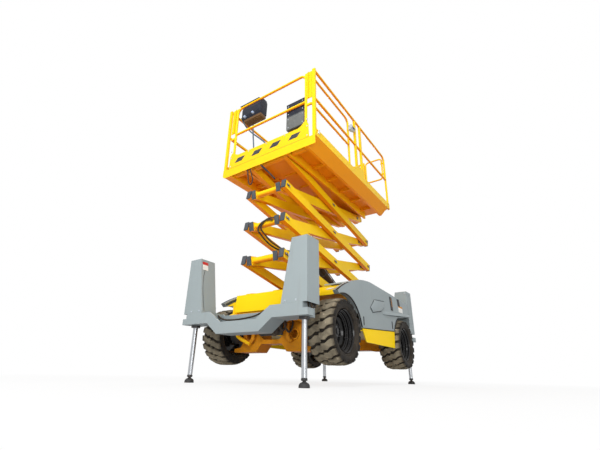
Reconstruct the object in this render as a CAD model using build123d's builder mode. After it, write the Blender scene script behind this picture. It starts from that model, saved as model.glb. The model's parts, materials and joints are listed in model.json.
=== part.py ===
"""Rough-terrain scissor lift, standing on its four levelling jacks.

X runs towards the platform's extension end, Y to the machine's left, Z up.
The origin is on the floor, under the middle of the base. Lengths are in millimetres.
"""

import os
from math import asin, cos, degrees, radians, sin, sqrt

from build123d import *

os.makedirs("parts", exist_ok=True)

# ---- Base ----
base_length = 3181.0        # over the faces of the jack covers
base_half_width = 855.0     # outer faces of the jack beams
wheelbase = 1873.0
axle_mid_x = -26.5          # middle of the two axles, from the middle of the base
axle_z = 526.0              # wheel centres above the floor, on the jacks
tyre_radius = 333.0
tyre_width = 300.0
tyre_mid_y = 757.0
bead_radius = 225.0
run = 0.5                   # running clearance on a radius
plate = 12.0                # structural plate

# ---- Side members of the chassis ----
member_y0 = 320.0
member_y1 = 390.0
member_z0 = 700.0
member_z1 = 856.0
member_step_z = 740.0       # where they step down to the jack beams
member_tip_z = (570.0, 690.0)
panel_gap = 110.5           # from the front panel to the jack beam behind it
knee_gap = 82.0             # from the step to the bend in their underside

# ---- Scissor ----
arm_span = 2373.0           # pivot to pivot, along X, as it stands
stage_rise = 452.0          # pivot to pivot, along Z, as it stands
front_pivot_x = 1195.5
level_0_z = 912.0
stages = 4
arm_wall_y = {"inner": (171.0, 231.0), "outer": (255.0, 315.0)}
arm_end_depth = 110.0
arm_end_reach = 62.0        # a square arm end, beyond its pivot
inner_belly = 34.0          # what the inner arms are deeper in the middle, below
belly_reach = 0.86          # of half an arm
pin_radius = 25.0
cross_tube_radius = 40.0
roller_radius = 45.0
roller_width = 50.0
lift_low = -7.0             # travel of the arms from how they stand, in degrees
lift_high = 37.0
channel_gap = 1.0           # above and below a roller
channel_wall = 10.0

# ---- Jacks ----
jack_inset = 112.0          # from a jack beam's face to the jack
jack_y = 750.0
rod_radius = 26.0
barrel_radius = 45.0
foot_radius = 50.0
foot_height = 80.0
cover_depth = 218.0
cover_base_z = 718.0
cover_top_z = 1369.0
cover_top_width = 184.0
cover_base_width = 300.0
cover_sheet = 6.0
beam_end_z = 600.0          # underside of a jack beam's ends
beam_mid_z = 480.0          # underside of its dropped middle

# ---- Platform ----
platform_rear_x = -1218.5
platform_front_x = 1304.5
platform_half_width = 779.0
deck_z = 2790.0
deck_sheet = 5.0
fascia_depth = 130.0
extension_rear_x = -100.0   # rear edge of the sliding extension
rail_height = 1095.0
mid_rail_height = 600.0
rail_tube = 18.0            # radius of the guard rails
rail_bend = 90.0            # and of their bends
post_wall = 30.0
mid_post_width = 40.0
post_depth = 44.0           # corner posts, along Y

# ---- Worked out ----
front_axle_x = axle_mid_x + wheelbase / 2
rear_axle_x = axle_mid_x - wheelbase / 2
arm_length = sqrt(arm_span**2 + stage_rise**2)
arm_angle = degrees(asin(stage_rise / arm_length))
rear_pivot_x = front_pivot_x - arm_span
cross_x = (front_pivot_x + rear_pivot_x) / 2
level_z = [level_0_z + stage * stage_rise for stage in range(stages + 1)]
half = arm_length / 2
cover_face_x = base_length / 2
cover_back_x = cover_face_x - cover_depth
rail_top_z = deck_z + rail_height
jack_x = cover_face_x - jack_inset
panel_x = cover_back_x - panel_gap
knee_x = panel_x - knee_gap
tip_z0, tip_z1 = member_tip_z


def roller_x(lift):
    """X of the lowest rollers with the arms turned by lift from how they stand."""
    return front_pivot_x - arm_length * cos(radians(arm_angle + lift))



def side_plane(y):
    """XZ plane at a given Y. A positive extrude goes towards -Y."""
    return Plane.XZ.offset(-y)


def cross_plane(x):
    """YZ plane at a given X. A positive extrude goes towards +X."""
    return Plane.YZ.offset(x)


def arm_plane(x, y, z, tilt):
    """XZ plane turned by tilt, in degrees, its x axis pointing up at the front."""
    slope = radians(tilt)
    return Plane(origin=(x, y, z), x_dir=(cos(slope), 0, sin(slope)), z_dir=(0, -1, 0))


def around(cx, cz, radius, angle):
    """Point on a circle about (cx, cz)."""
    return (cx + radius * cos(radians(angle)), cz + radius * sin(radians(angle)))


# ---------------------------------------------------------------- chassis
channel_z0 = level_0_z - roller_radius - channel_gap
channel_z1 = level_0_z + roller_radius + channel_gap
channel_x0 = roller_x(lift_low) - roller_radius - 15
channel_x1 = roller_x(lift_high) + roller_radius + 22
lug = 18.0
lug_gap = 6.0
lug_radius = 45.0
cross_members = [(-1150.0, 100.0), (-400.0, 80.0), (300.0, 80.0), (front_pivot_x, 110.0)]
cross_member_height = 100.0

with BuildPart() as chassis_frame:
    with BuildSketch(side_plane(member_y1)):
        with BuildLine():
            Polyline(
                (-cover_back_x, tip_z0), (-knee_x, member_z0), (knee_x, member_z0),
                (cover_back_x, tip_z0), (cover_back_x, tip_z1), (panel_x, member_step_z),
                (panel_x, member_z1), (-panel_x, member_z1), (-panel_x, member_step_z),
                (-cover_back_x, tip_z1), close=True,
            )
        make_face()
    extrude(amount=member_y1 - member_y0)
    with BuildSketch(cross_plane(channel_x0)):
        with Locations((member_y1 - (member_y1 - member_y0) / 2, level_0_z)):
            Rectangle(member_y1 - member_y0, channel_z1 - channel_z0 + 2 * channel_wall)
        with Locations((member_y0, level_0_z)):
            Rectangle(
                2 * (member_y1 - channel_wall - member_y0), channel_z1 - channel_z0,
                mode=Mode.SUBTRACT,
            )
    extrude(amount=channel_x1 - channel_x0)
    mirror(about=Plane.XZ)
    for member_x, member_length in cross_members:
        with Locations((member_x, 0, member_z0 + cross_member_height / 2)):
            Box(member_length, 2 * member_y0, cross_member_height)
    with BuildSketch(side_plane(arm_wall_y["inner"][1] + lug_gap + lug)):
        with BuildLine():
            Polyline(
                (front_pivot_x - lug_radius - 10, member_z0 + cross_member_height / 2),
                (front_pivot_x + lug_radius + 10, member_z0 + cross_member_height / 2),
                (front_pivot_x + lug_radius, level_0_z), (front_pivot_x - lug_radius, level_0_z),
                close=True,
            )
        make_face()
        with Locations((front_pivot_x, level_0_z)):
            Circle(lug_radius)
    lugs = extrude(amount=lug)
    mirror(lugs, about=Plane.XZ)
    with BuildSketch(side_plane(arm_wall_y["inner"][1] + lug_gap + lug)):
        with Locations((front_pivot_x, level_0_z)):
            Circle(pin_radius)
    pins = extrude(amount=arm_wall_y["inner"][1] - arm_wall_y["inner"][0] + lug_gap + lug)
    mirror(pins, about=Plane.XZ)

chassis_frame.part.label = "chassis_frame"
export_step(chassis_frame.part, "parts/chassis_frame.step")

panel_half_width = 335.0
panel_flare = 20.0
panel_z0 = member_step_z + 5
panel_z1 = 940.0
panel_sheet = 8.0
with BuildPart() as front_panel:
    with BuildSketch(cross_plane(panel_x)):
        with BuildLine():
            Polyline(
                (-panel_half_width - panel_flare, panel_z0), (panel_half_width + panel_flare, panel_z0),
                (panel_half_width, panel_z1), (-panel_half_width, panel_z1), close=True,
            )
        make_face()
    extrude(amount=panel_sheet)
front_panel.part.label = "front_panel"
export_step(front_panel.part, "parts/front_panel.step")

# ---------------------------------------------------------------- jack beams
beam_top_z = cover_base_z
crank_low = (448.0, 290.0)  # half widths where the underside bends
crank_top = (420.0, 243.0)  # and where the top does
trough_low = (428.0, 284.0)
dip_z = 600.0
beam_outline = [
    (-base_half_width, beam_end_z), (-crank_low[0], beam_end_z), (-crank_low[1], beam_mid_z),
    (crank_low[1], beam_mid_z), (crank_low[0], beam_end_z), (base_half_width, beam_end_z),
    (base_half_width, beam_top_z), (crank_top[0], beam_top_z), (crank_top[1], dip_z),
    (-crank_top[1], dip_z), (-crank_top[0], beam_top_z), (-base_half_width, beam_top_z),
]
web_z = 700.0               # top of the upright web across the trough
web_half_width = 390.0
notch_y = 800.0             # beyond it a beam is shallower and lower than its cover
notch_z = 665.0
notch_depth = 105.0
barrel_top_z = cover_top_z - 24
barrel_cap = 20.0
rod_top_z = 880.0


def jack_beam(face_x):
    """Cranked beam across one end: a trough in the middle, closed ends, two jack barrels."""
    outward = 1 if face_x > 0 else -1
    back_x = face_x - outward * cover_depth
    low_x = min(face_x, back_x)
    with BuildPart() as beam:
        with BuildSketch(cross_plane(low_x)):
            with BuildLine():
                Polyline(*beam_outline, close=True)
            make_face()
        extrude(amount=cover_depth)
        with BuildSketch(cross_plane(low_x + plate)):
            with BuildLine():
                Polyline(
                    (-trough_low[0], beam_end_z + plate + 5), (-trough_low[1], beam_mid_z + plate),
                    (trough_low[1], beam_mid_z + plate), (trough_low[0], beam_end_z + plate + 5),
                    (trough_low[0], beam_top_z + 1), (-trough_low[0], beam_top_z + 1), close=True,
                )
            make_face()
        extrude(amount=cover_depth - 2 * plate, mode=Mode.SUBTRACT)
        with BuildSketch(cross_plane(back_x if outward > 0 else back_x - plate)):
            with BuildLine():
                Polyline(
                    (-trough_low[0], dip_z), (trough_low[0], dip_z), (web_half_width, web_z),
                    (-web_half_width, web_z), close=True,
                )
            make_face()
        extrude(amount=plate)
        for sign in (-1, 1):
            end_y = sign * (notch_y + base_half_width) / 2
            end_width = base_half_width - notch_y
            with Locations((back_x + outward * (cover_depth - notch_depth) / 2, end_y, beam_end_z)):
                Box(
                    cover_depth - notch_depth, end_width, beam_top_z - beam_end_z,
                    align=(Align.CENTER, Align.CENTER, Align.MIN), mode=Mode.SUBTRACT,
                )
            with Locations((face_x - outward * cover_depth / 2, end_y, notch_z)):
                Box(
                    cover_depth, end_width, beam_top_z - notch_z,
                    align=(Align.CENTER, Align.CENTER, Align.MIN), mode=Mode.SUBTRACT,
                )
        with Locations(
            (outward * jack_x, jack_y, beam_end_z), (outward * jack_x, -jack_y, beam_end_z)
        ):
            Cylinder(
                barrel_radius, barrel_top_z - beam_end_z,
                align=(Align.CENTER, Align.CENTER, Align.MIN),
            )
            Cylinder(
                rod_radius + run, barrel_top_z - beam_end_z - barrel_cap,
                align=(Align.CENTER, Align.CENTER, Align.MIN), mode=Mode.SUBTRACT,
            )
    return beam


for end, face_x in (("front", cover_face_x), ("rear", -cover_face_x)):
    beam = jack_beam(face_x)
    beam.part.label = f"{end}_beam"
    export_step(beam.part, f"parts/{end}_beam.step")

cover_outer_y = 850.0
cover_outline = [
    (cover_outer_y - cover_base_width, cover_base_z), (cover_outer_y, cover_base_z),
    (cover_outer_y, cover_top_z), (cover_outer_y - cover_top_width, cover_top_z),
]
cavity_outline = [
    (cover_outer_y - cover_base_width + cover_sheet, cover_base_z - 1),
    (cover_outer_y - cover_sheet, cover_base_z - 1),
    (cover_outer_y - cover_sheet, cover_top_z - cover_sheet),
    (cover_outer_y - cover_top_width + cover_sheet, cover_top_z - cover_sheet),
]
for end, low_x in (("front", cover_back_x), ("rear", -cover_face_x)):
    with BuildPart() as covers:
        with BuildSketch(cross_plane(low_x)):
            with BuildLine():
                Polyline(*cover_outline, close=True)
            make_face()
        extrude(amount=cover_depth)
        with BuildSketch(cross_plane(low_x + cover_sheet)):
            with BuildLine():
                Polyline(*cavity_outline, close=True)
            make_face()
        extrude(amount=cover_depth - 2 * cover_sheet, mode=Mode.SUBTRACT)
        mirror(about=Plane.XZ)
    covers.part.label = f"{end}_jack_covers"
    export_step(covers.part, f"parts/{end}_jack_covers.step")

# ---------------------------------------------------------------- jack rods and feet
# (radius, height) of a foot's pad, its cone, its neck and the ball's socket
foot_outline = [
    (0, 0), (foot_radius, 0), (foot_radius, 10), (24, 44), (16, 50), (16, 60), (22, foot_height),
    (0, foot_height),
]
for end, end_x in (("front", jack_x), ("rear", -jack_x)):
    for side, side_y in (("left", jack_y), ("right", -jack_y)):
        with BuildPart() as jack_rod:
            with Locations((end_x, side_y, foot_height)):
                Cylinder(
                    rod_radius, rod_top_z - foot_height,
                    align=(Align.CENTER, Align.CENTER, Align.MIN),
                )
        jack_rod.part.label = f"{end}_{side}_jack_rod"
        export_step(jack_rod.part, f"parts/{end}_{side}_jack_rod.step")

        with BuildPart() as jack_foot:
            with BuildSketch(Plane.XZ):
                with BuildLine():
                    Polyline(*foot_outline, close=True)
                make_face()
            revolve(axis=Axis.Z)
        jack_foot.part.position = (end_x, side_y, 0)
        jack_foot.part.label = f"{end}_{side}_jack_foot"
        export_step(jack_foot.part, f"parts/{end}_{side}_jack_foot.step")

# ---------------------------------------------------------------- axles, knuckles and wheels
kingpin_y = 520.0
kingpin_radius = 22.0
yoke_low_z = 330.0
yoke_top_z = 694.0
axle_depth = 200.0
boss_spot = (320.0, 510.0)  # (half width, height) of the round boss in each yoke
boss_radius = 60.0
boss_bore = 45.0
boss_height = 10.0
boss_depth = 60.0           # of its blind bore, from the yoke's face
yoke_corner = 14.0
hub_radius = 90.0
spindle_radius = 30.0
spindle_end_y = 740.0
hub_y0 = 480.0
hub_y1 = 650.0
yoke_half = [
    (147, 415), (215, yoke_low_z), (556, yoke_low_z), (556, 372), (462, 384), (430, 420),
    (430, 628), (462, 650), (556, 654), (556, yoke_top_z), (400, member_z0), (300, member_z0),
    (155, 655), (155, 500), (110, 460),
]
yoke_outline = yoke_half + [(-y, z) for y, z in reversed(yoke_half)]
with BuildPart() as front_axle:
    with BuildSketch(cross_plane(front_axle_x - axle_depth / 2)):
        with BuildLine():
            FilletPolyline(*yoke_outline, radius=yoke_corner, close=True)
        make_face()
    extrude(amount=axle_depth)
    for sign in (-1, 1):
        boss_y = sign * boss_spot[0]
        with BuildSketch(cross_plane(front_axle_x + axle_depth / 2 - boss_depth)):
            with Locations((boss_y, boss_spot[1])):
                Circle(boss_radius)
        extrude(amount=boss_depth + boss_height)
        with BuildSketch(cross_plane(front_axle_x + axle_depth / 2 - boss_depth)):
            with Locations((boss_y, boss_spot[1])):
                Circle(boss_bore)
        extrude(amount=boss_depth + boss_height, mode=Mode.SUBTRACT)
        with Locations((front_axle_x, sign * kingpin_y, axle_z)):
            Cylinder(kingpin_radius + run, member_z0 - yoke_low_z + 80, mode=Mode.SUBTRACT)
front_axle.part.label = "front_axle"
export_step(front_axle.part, "parts/front_axle.step")

rear_beam_z0 = 452.0
rear_beam_z1 = 600.0
rear_boss_y = 410.0         # the beam deepens by rear_boss_step outside of it
rear_boss_step = 16.0
rear_beam_half = [
    (0, rear_beam_z0), (rear_boss_y - 40, rear_beam_z0), (rear_boss_y, rear_beam_z0 - rear_boss_step),
    (hub_y1 - 50, rear_beam_z0 - rear_boss_step), (hub_y1 - 50, rear_beam_z1 + rear_boss_step),
    (rear_boss_y, rear_beam_z1 + rear_boss_step), (rear_boss_y - 40, rear_beam_z1), (0, rear_beam_z1),
]
rear_beam_depth = 150.0
hanger_length = 120.0
with BuildPart() as rear_axle:
    with BuildSketch(cross_plane(rear_axle_x - rear_beam_depth / 2)):
        with BuildLine():
            Polyline(*rear_beam_half, close=True)
        make_face()
        mirror(about=Plane.YZ)
    extrude(amount=rear_beam_depth)
    for sign in (-1, 1):
        with Locations((rear_axle_x, sign * (member_y0 + member_y1) / 2, member_z0)):
            Box(
                hanger_length, member_y1 - member_y0 - 10, member_z0 - rear_beam_z1 + 10,
                align=(Align.CENTER, Align.CENTER, Align.MAX),
            )
    with BuildSketch(side_plane(hub_y1)):
        with Locations((rear_axle_x, axle_z)):
            Circle(hub_radius)
    hubs = extrude(amount=hub_y1 - rear_boss_y)
    mirror(hubs, about=Plane.XZ)
    with BuildSketch(side_plane(spindle_end_y)):
        with Locations((rear_axle_x, axle_z)):
            Circle(spindle_radius)
    spindles = extrude(amount=spindle_end_y - hub_y1 + 10)
    mirror(spindles, about=Plane.XZ)
rear_axle.part.label = "rear_axle"
export_step(rear_axle.part, "parts/rear_axle.step")

knuckle_radius = 48.0
knuckle_z0 = 391.0
knuckle_z1 = 622.0
for side, sign in (("left", 1), ("right", -1)):
    with BuildPart() as knuckle:
        with Locations((front_axle_x, kingpin_y, (knuckle_z0 + knuckle_z1) / 2)):
            Cylinder(knuckle_radius, knuckle_z1 - knuckle_z0)
        with Locations((front_axle_x, kingpin_y, (yoke_low_z + yoke_top_z) / 2)):
            Cylinder(kingpin_radius, yoke_top_z - yoke_low_z)
        with BuildSketch(side_plane(hub_y1)):
            with Locations((front_axle_x, axle_z)):
                Circle(hub_radius)
        extrude(amount=hub_y1 - hub_y0)
        with BuildSketch(side_plane(spindle_end_y)):
            with Locations((front_axle_x, axle_z)):
                Circle(spindle_radius)
        extrude(amount=spindle_end_y - hub_y1 + 10)
        if sign < 0:
            mirror(about=Plane.XZ, mode=Mode.REPLACE)
    knuckle.part.label = f"{side}_knuckle"
    export_step(knuckle.part, f"parts/{side}_knuckle.step")

outer_face_y = tyre_mid_y + tyre_width / 2
inner_face_y = tyre_mid_y - tyre_width / 2
disc_y = 700.0
disc_wall = 14.0


def wheel_part(outline, axle_x, sign):
    """Revolve an outline of (radius, y) about a wheel's own axis."""
    with BuildPart() as turned:
        with BuildSketch(Plane(origin=(axle_x, 0, axle_z), x_dir=(1, 0, 0), z_dir=(0, 0, 1))):
            with BuildLine():
                Polyline(*[(radius, sign * y) for radius, y in outline], close=True)
            make_face()
        revolve(axis=Axis((axle_x, 0, axle_z), (0, 1, 0)))
    return turned


shoulder = 35.0
tyre_outline = [
    (bead_radius, inner_face_y + 25), (bead_radius + 45, inner_face_y), (300, inner_face_y + 5),
    (tyre_radius, inner_face_y + 5 + shoulder), (tyre_radius, outer_face_y - 5 - shoulder),
    (300, outer_face_y - 5), (bead_radius + 45, outer_face_y), (bead_radius, outer_face_y - 25),
]
rim_wall = 10.0
rim_inner = bead_radius - rim_wall
hub_cap_y = spindle_end_y + 6
# (radius, y) from the bead inwards over two steps to the disc, the hub cap and the spindle's bore
rim_outline = [
    (bead_radius, inner_face_y + 25), (bead_radius, outer_face_y - 25),
    (rim_inner, outer_face_y - 25), (rim_inner, outer_face_y - 52), (rim_inner - 14, outer_face_y - 58),
    (rim_inner - 14, outer_face_y - 100), (rim_inner - 30, outer_face_y - 108),
    (rim_inner - 30, disc_y + disc_wall), (98, disc_y + disc_wall), (92, hub_cap_y + 18),
    (60, hub_cap_y + 34), (0, hub_cap_y + 34), (0, hub_cap_y), (spindle_radius + run, hub_cap_y),
    (spindle_radius + run, disc_y - 10), (85, disc_y - 10), (95, disc_y),
    (rim_inner, disc_y), (rim_inner, inner_face_y + 25),
]
for end, axle_x in (("front", front_axle_x), ("rear", rear_axle_x)):
    for side, sign in (("left", 1), ("right", -1)):
        tyre = wheel_part(tyre_outline, axle_x, sign)
        tyre.part.label = f"{end}_{side}_tyre"
        export_step(tyre.part, f"parts/{end}_{side}_tyre.step")
        rim = wheel_part(rim_outline, axle_x, sign)
        rim.part.label = f"{end}_{side}_rim"
        export_step(rim.part, f"parts/{end}_{side}_rim.step")

# ---------------------------------------------------------------- hoods and side trays
hood_outer_y = 860.0
hood_inner_y = 460.0
hood_skin = 15.0
hood_rear_x = -1330.0
hood_tip = (1015.0, 932.0)
hood_brow = (523.0, 1142.0)
hood_crown = (108.0, 1198.0)
hood_shoulder = (-594.0, 1176.0)
hood_rear_z = (944.0, 1138.0)
front_arch = tyre_radius + 71
arch_x = front_axle_x - 77  # the front arch leaves room for the steered wheel
arch_z = axle_z - 7
rear_arch = tyre_radius + 35
blade_x = 590.0             # forward of it a hood is only an outer blade
blade_y = 800.0
front_arch_ends = (167.3, 128.0, 69.6)
rear_arch_ends = (72, 48, 24)
hatch_outline = [(177, 873), (29, 998), (-311, 1031), (-298, 937), (-187, 872), (111, 815)]
hatch_depth = 6.0
mouth_x = (-560.0, 600.0)   # the hood is open underneath between these
mouth_z = (500.0, 760.0)
# (x, z, length, width, turn) of the slots cut through a hood
hood_slots = [
    (-577.0, 1041.0, 180.0, 30.0, 66.3), (-884.0, 1106.0, 94.0, 28.0, 48.0),
    (385.0, 690.0, 88.0, 13.0, 90.0), (-560.0, 745.0, 90.0, 13.0, 90.0),
]
crease_start = (-240.0, 845.0)
crease_end = (hood_rear_x - 2, hood_rear_z[0] + 2)
crease_depth = 8.0
crease_fade = 220.0         # how far below the crease the side is back in line


def hood_profile(grow):
    """Side outline of a hood, moved outwards by grow."""
    with BuildSketch(mode=Mode.PRIVATE) as profile:
        with BuildLine():
            front_ends = [around(arch_x, arch_z, front_arch, angle) for angle in front_arch_ends]
            rear_ends = [around(rear_axle_x, axle_z, rear_arch, angle) for angle in rear_arch_ends]
            ThreePointArc(hood_tip, hood_brow, hood_crown)
            Polyline(
                hood_crown, hood_shoulder, (hood_rear_x, hood_rear_z[1]),
                (hood_rear_x, hood_rear_z[0]), rear_ends[0],
            )
            ThreePointArc(*rear_ends)
            Line(rear_ends[2], front_ends[0])
            ThreePointArc(*front_ends)
            Line(front_ends[2], hood_tip)
        make_face()
        if grow:
            offset(amount=grow, kind=Kind.INTERSECTION, mode=Mode.REPLACE)
    return profile.sketch


outer_profile = hood_profile(0)
inner_profile = hood_profile(-hood_skin)
crease_length = sqrt((crease_start[0] - crease_end[0]) ** 2 + (crease_end[1] - crease_start[1]) ** 2)
crease_dir = (
    (crease_end[0] - crease_start[0]) / crease_length, 0,
    (crease_end[1] - crease_start[1]) / crease_length,
)
crease_plane = Plane(
    origin=(crease_start[0], hood_outer_y, crease_start[1]), x_dir=(0, 1, 0), z_dir=crease_dir
)
for side, sign in (("left", 1), ("right", -1)):
    with BuildPart() as hood:
        with BuildSketch(side_plane(hood_outer_y)):
            add(outer_profile)
        extrude(amount=hood_outer_y - hood_inner_y)
        with BuildSketch(side_plane(hood_outer_y - hood_skin)):
            add(inner_profile)
        extrude(amount=hood_outer_y - hood_inner_y, mode=Mode.SUBTRACT)
        with BuildSketch(side_plane(hood_outer_y - hood_skin)):
            with BuildLine():
                Polyline(
                    (mouth_x[1], mouth_z[0]), (mouth_x[1], mouth_z[1]), (mouth_x[0], mouth_z[1]),
                    (mouth_x[0], mouth_z[0]), close=True,
                )
            make_face()
        extrude(amount=hood_outer_y - hood_inner_y, mode=Mode.SUBTRACT)
        # forward of the engine only the outer blade with its returns goes on
        with BuildSketch(side_plane(blade_y)):
            with Locations((blade_x, arch_z)):
                Rectangle(hood_tip[0], 2 * hood_crown[1], align=(Align.MIN, Align.CENTER))
            with Locations((arch_x, arch_z)):
                Circle(front_arch + hood_skin + 1)
        extrude(amount=blade_y - hood_inner_y, mode=Mode.SUBTRACT)
        with BuildSketch(side_plane(hood_outer_y)):
            with BuildLine():
                Polyline(*hatch_outline, close=True)
            make_face()
        extrude(amount=hatch_depth, mode=Mode.SUBTRACT)
        for slot_x, slot_z, slot_length, slot_width, turn in hood_slots:
            with BuildSketch(side_plane(hood_outer_y)):
                with Locations((slot_x, slot_z)):
                    SlotOverall(slot_length, slot_width, rotation=turn)
            extrude(amount=hood_skin, mode=Mode.SUBTRACT)
        # the side is drawn in under a crease that deepens towards the rear
        with BuildSketch(crease_plane):
            Polygon((0.5, 0), (-0.5, 0), (0.5, crease_fade), align=None)
        with BuildSketch(crease_plane.offset(crease_length)):
            Polygon((0.5, 0), (-crease_depth, 0), (0.5, crease_fade), align=None)
        loft(mode=Mode.SUBTRACT)
        if sign < 0:
            mirror(about=Plane.XZ, mode=Mode.REPLACE)
    hood.part.label = f"{side}_hood"
    export_step(hood.part, f"parts/{side}_hood.step")

skirt_y = 855.0
# corners of a side skirt, from its upper front one round to its lower front one
skirt_outline = [(425.0, 600.0), (-638.0, 666.0), (-602.0, 452.0), (326.0, 458.0)]
tray_z = 575.0
tray_x = (-600.0, 410.0)
tray_floor = 10.0
tray_rib = 10.0
tray_rib_height = 60.0      # above the underside of the side member
tray_wall_x0 = -550.0
tray_wall_x1 = 100.0
tray_wall = 8.0
hood_seat = 0.3             # between a hood and the wall it lies on


def under_hood(x):
    """Height of the seat under a hood's flat top."""
    rise = (hood_crown[1] - hood_shoulder[1]) / (hood_crown[0] - hood_shoulder[0])
    return hood_shoulder[1] + (x - hood_shoulder[0]) * rise - 1.001 * hood_skin - hood_seat


for side, sign in (("left", 1), ("right", -1)):
    with BuildPart() as tray:
        with BuildSketch(side_plane(skirt_y)):
            with BuildLine():
                Polyline(*skirt_outline, close=True)
            make_face()
        extrude(amount=plate)
        with BuildSketch(Plane.XY.offset(tray_z)):
            with Locations((sum(tray_x) / 2, (skirt_y + member_y1) / 2 - 1)):
                Rectangle(tray_x[1] - tray_x[0], skirt_y - member_y1 - 2)
        extrude(amount=tray_floor)
        for rib_x in (tray_wall_x0, sum(tray_x) / 2, tray_x[1] - 40):
            with BuildSketch(cross_plane(rib_x)):
                with BuildLine():
                    Polyline(
                        (member_y1, tray_z), (member_y1, member_z0 + tray_rib_height),
                        (member_y1 + 12, member_z0 + tray_rib_height), (member_y1 + 30, tray_z),
                        close=True,
                    )
                make_face()
            extrude(amount=tray_rib)
        with BuildSketch(side_plane(hood_inner_y + 4 + tray_wall)):
            with BuildLine():
                Polyline(
                    (tray_wall_x0, tray_z), (tray_wall_x0, under_hood(tray_wall_x0)),
                    (tray_wall_x1, under_hood(tray_wall_x1)), (tray_wall_x1, tray_z), close=True,
                )
            make_face()
        extrude(amount=tray_wall)
        if sign < 0:
            mirror(about=Plane.XZ, mode=Mode.REPLACE)
    tray.part.label = f"{side}_side_tray"
    export_step(tray.part, f"parts/{side}_side_tray.step")

engine_x = -130.0
engine_y = 650.0
engine_z = tray_z + tray_floor
engine_size = (640.0, 330.0, 300.0)
head_size = (460.0, 210.0, 160.0)
filter_radius = 62.0
filter_height = 140.0
with BuildPart() as engine_block:
    with Locations((engine_x, engine_y, engine_z)):
        Box(*engine_size, align=(Align.CENTER, Align.CENTER, Align.MIN))
    with Locations((engine_x - 40, engine_y, engine_z + engine_size[2])):
        Box(*head_size, align=(Align.CENTER, Align.CENTER, Align.MIN))
    fillet(engine_block.edges().filter_by(Axis.X), 20)
    filter_x = engine_x + engine_size[0] / 2 - filter_radius - 8
    with Locations((filter_x, engine_y, engine_z + engine_size[2])):
        Cylinder(filter_radius, filter_height, align=(Align.CENTER, Align.CENTER, Align.MIN))
engine_block.part.label = "engine_block"
export_step(engine_block.part, "parts/engine_block.step")

tank_x = engine_x - 50
tank_y = -655.0
tank_size = (700.0, 350.0, 420.0)
filler_radius = 45.0
filler_height = 30.0
with BuildPart() as hydraulic_tank:
    with Locations((tank_x, tank_y, engine_z)):
        Box(*tank_size, align=(Align.CENTER, Align.CENTER, Align.MIN))
    fillet(hydraulic_tank.edges().filter_by(Axis.Z), 40)
    with Locations((tank_x - 200, tank_y, engine_z + tank_size[2])):
        Cylinder(filler_radius, filler_height, align=(Align.CENTER, Align.CENTER, Align.MIN))
hydraulic_tank.part.label = "hydraulic_tank"
export_step(hydraulic_tank.part, "parts/hydraulic_tank.step")

# fenders over the front wheels: a top sheet under the hood's line, an arched liner, an inner side
fender_y = blade_y - 7
fender_sheet = 8.0
fender_edge = (957.0, 911.0)
fender_arc = [fender_edge, (770.0, 1011.0), (560.0, 1101.0)]
liner_ends = (72.5, 112.0, 149.0)
with BuildPart() as arch_plates:
    low_arc = [(x, z - fender_sheet) for x, z in fender_arc]
    with BuildSketch(side_plane(fender_y)):
        with BuildLine():
            ThreePointArc(*fender_arc)
            Line(fender_arc[2], low_arc[2])
            ThreePointArc(*reversed(low_arc))
            Line(low_arc[0], fender_arc[0])
        make_face()
    extrude(amount=fender_y - member_y1)
    with BuildSketch(side_plane(fender_y)):
        with BuildLine():
            inner_ends = [around(arch_x, arch_z, front_arch, angle) for angle in liner_ends]
            outer_ends = [around(arch_x, arch_z, front_arch + fender_sheet, angle) for angle in liner_ends]
            ThreePointArc(*inner_ends)
            Line(inner_ends[2], outer_ends[2])
            ThreePointArc(*reversed(outer_ends))
            Line(outer_ends[0], inner_ends[0])
        make_face()
    extrude(amount=fender_y - member_y1)
    with BuildSketch(side_plane(member_y1)):
        with BuildLine():
            ThreePointArc(*fender_arc)
            Polyline(
                fender_arc[2], (fender_arc[2][0], member_z1), (fender_edge[0], member_z1), fender_edge
            )
        make_face()
    extrude(amount=fender_sheet)
    mirror(about=Plane.XZ)
arch_plates.part.label = "arch_plates"
export_step(arch_plates.part, "parts/arch_plates.step")

# ---------------------------------------------------------------- scissor frames
pin_reach = 6.0
top_pin_reach = 24.0        # of the pins in the tube under the deck
# spots along an inner arm from its middle, and above it
cylinder_base = (-850.0, -120.0)     # pin of the lift cylinder, on the first inner frame
base_tube = (-1010.0, 0.0)           # cross tube that carries its lugs
cylinder_eye = (200.0, 160.0)        # the rod's eye, on the second inner frame
eye_tube = (380.0, 0.0)
lug_y0 = 68.0
lug_wall = 14.0
eye_half_width = 56.0


def arm_outline(belly, square_rear, square_front):
    """Side outline of an arm, along its own X: straight or bellied below, each end square or round."""
    radius = arm_end_depth / 2
    with BuildSketch(mode=Mode.PRIVATE) as outline:
        with BuildLine():
            Line((-half, radius), (half, radius))
            if square_front:
                reach = half + arm_end_reach
                Polyline((half, radius), (reach, radius), (reach, -radius), (half, -radius))
            else:
                ThreePointArc((half, radius), (half + radius, 0), (half, -radius))
            if belly:
                Line((half, -radius), (half * belly_reach, -radius))
                ThreePointArc(
                    (half * belly_reach, -radius), (0, -radius - belly), (-half * belly_reach, -radius)
                )
                Line((-half * belly_reach, -radius), (-half, -radius))
            else:
                Line((half, -radius), (-half, -radius))
            if square_rear:
                reach = half + arm_end_reach
                Polyline((-half, -radius), (-reach, -radius), (-reach, radius), (-half, radius))
            else:
                ThreePointArc((-half, -radius), (-half - radius, 0), (-half, radius))
        make_face()
    return outline.sketch


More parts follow.
